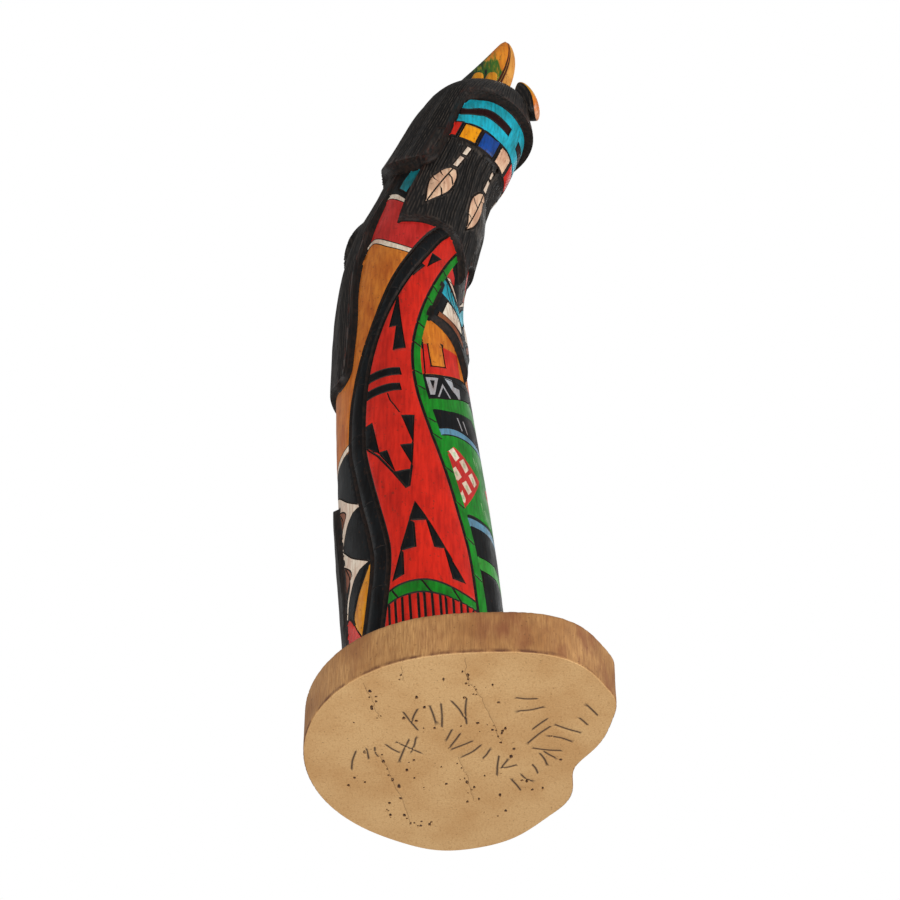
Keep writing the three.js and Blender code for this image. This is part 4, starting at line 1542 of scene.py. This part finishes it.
ends = petal_place(-PETAL_INSET, 0), petal_place(1 + PETAL_INSET, 0)
petal = drawn_out("brow_petal", petal_place, PETAL_RINGS, *ends)
petal.materials.append(brushed("acrylic_on_brow_petal", "#12140F", [
    ("#E8A81C", "along", 0.1, 0.2, 0.1, 0.0),
    ("#E8862A", "along", 0.6, 0.8, 0.2, 0.0),
    ("#E8AC86", "along", 0.88, 0.96, 0.15, 0.0),
]))
petal.materials.append(hair_stain)
outer = [item.value for item in petal.attributes["outer"].data]
# alternate strands on the petal's hair-stained face get the same lighter colour: painted highlight and
# rubbing
strand = [round(item.value * RING_POINTS) // 2 % 2 for item in petal.attributes["turn"].data]
petal.attributes.new("ridge_highlight_and_rub", "FLOAT", "POINT").data.foreach_set("value", [float(odd) for odd in strand])
for face in petal.polygons:
    face.material_index = int(max(outer[i] for i in face.vertices) < INNER_FACE)
place_on_root("brow_petal", petal)

# %% [markdown]
# ## Floor and light
# The doll stands on a plain pale floor. The floor shows only from above, because the camera looks up
# from below it. The background is white where the camera sees it and dimmer as a source of light,
# which keeps the blacks deep. One big soft lamp stands beside the camera and a little lower, so that the
# slab's underside is the brightest face. A strip on the right, a thin one behind and a weak fill on
# the left draw the narrow glints along the root.

# %% Floor
def floor_material():
    material, tree, shader, _ = new_material("pale_floor")
    shader.inputs["Base Color"].default_value = linear("#F2F1EE")
    shader.inputs["Roughness"].default_value = 0.9
    shader.inputs["Emission Color"].default_value = linear("#F2F1EE")
    shader.inputs["Emission Strength"].default_value = 0.4
    clear = add_node(tree, "BsdfTransparent")
    below = add_node(tree, "NewGeometry").outputs["Backfacing"]
    seen = add_node(tree, "MixShader", {0: below, 1: shader.outputs[0], 2: clear.outputs[0]})
    tree.links.new(seen.outputs[0], tree.nodes["Material Output"].inputs["Surface"])
    return material


def lay_floor():
    bm = bmesh.new()
    bmesh.ops.create_grid(bm, x_segments=1, y_segments=1, size=1.5)
    bmesh.ops.translate(bm, verts=bm.verts, vec=(0, 0, -0.1 * MM))
    mesh = bpy.data.meshes.new("floor")
    bm.to_mesh(mesh)
    bm.free()
    mesh.materials.append(floor_material())
    floor = bpy.data.objects.new("floor", mesh)
    bpy.context.scene.collection.objects.link(floor)
    floor.visible_diffuse = floor.visible_glossy = False
    floor.visible_transmission = floor.visible_shadow = False


lay_floor()
print("floor laid")

# %% Lamps and background
LAMPS = [  # name, place in metres, width and height, watts
    ("key", (-0.2, -0.8, -0.68), (0.9, 0.9), 10.5),
    ("right strip", (0.75, -0.35, 0.12), (0.12, 0.7), 4.5),
    ("glint behind", (0.36, 0.6, 0.82), (0.04, 0.8), 0.5),
    ("left fill", (-0.8, 0.15, 0.3), (0.4, 0.6), 1.5),
]


def hang_lamp(name, place, size, watts):
    lamp = bpy.data.lights.new(name, "AREA")
    lamp.shape = "RECTANGLE"
    lamp.size, lamp.size_y = size
    lamp.energy = watts
    stand = bpy.data.objects.new(name, lamp)
    stand.location = place
    stand.rotation_euler = (CAMERA_TARGET - Vector(place)).to_track_quat("-Z", "Y").to_euler()
    stand.visible_camera = False
    bpy.context.scene.collection.objects.link(stand)


def light_background():
    world = bpy.data.worlds.new("pale studio")
    bpy.context.scene.world = world
    world.use_nodes = True
    tree = world.node_tree
    seen = add_node(tree, "LightPath").outputs["Is Camera Ray"]
    strength = ranged(tree, seen, 0, 1, 0.34, 1)
    tree.nodes["Background"].inputs["Color"].default_value = (1, 1, 1, 1)
    tree.links.new(strength, tree.nodes["Background"].inputs["Strength"])


for lamp in LAMPS:
    hang_lamp(*lamp)
light_background()
bpy.context.scene.view_settings.view_transform = "Standard"
print(len(LAMPS), "lamps")
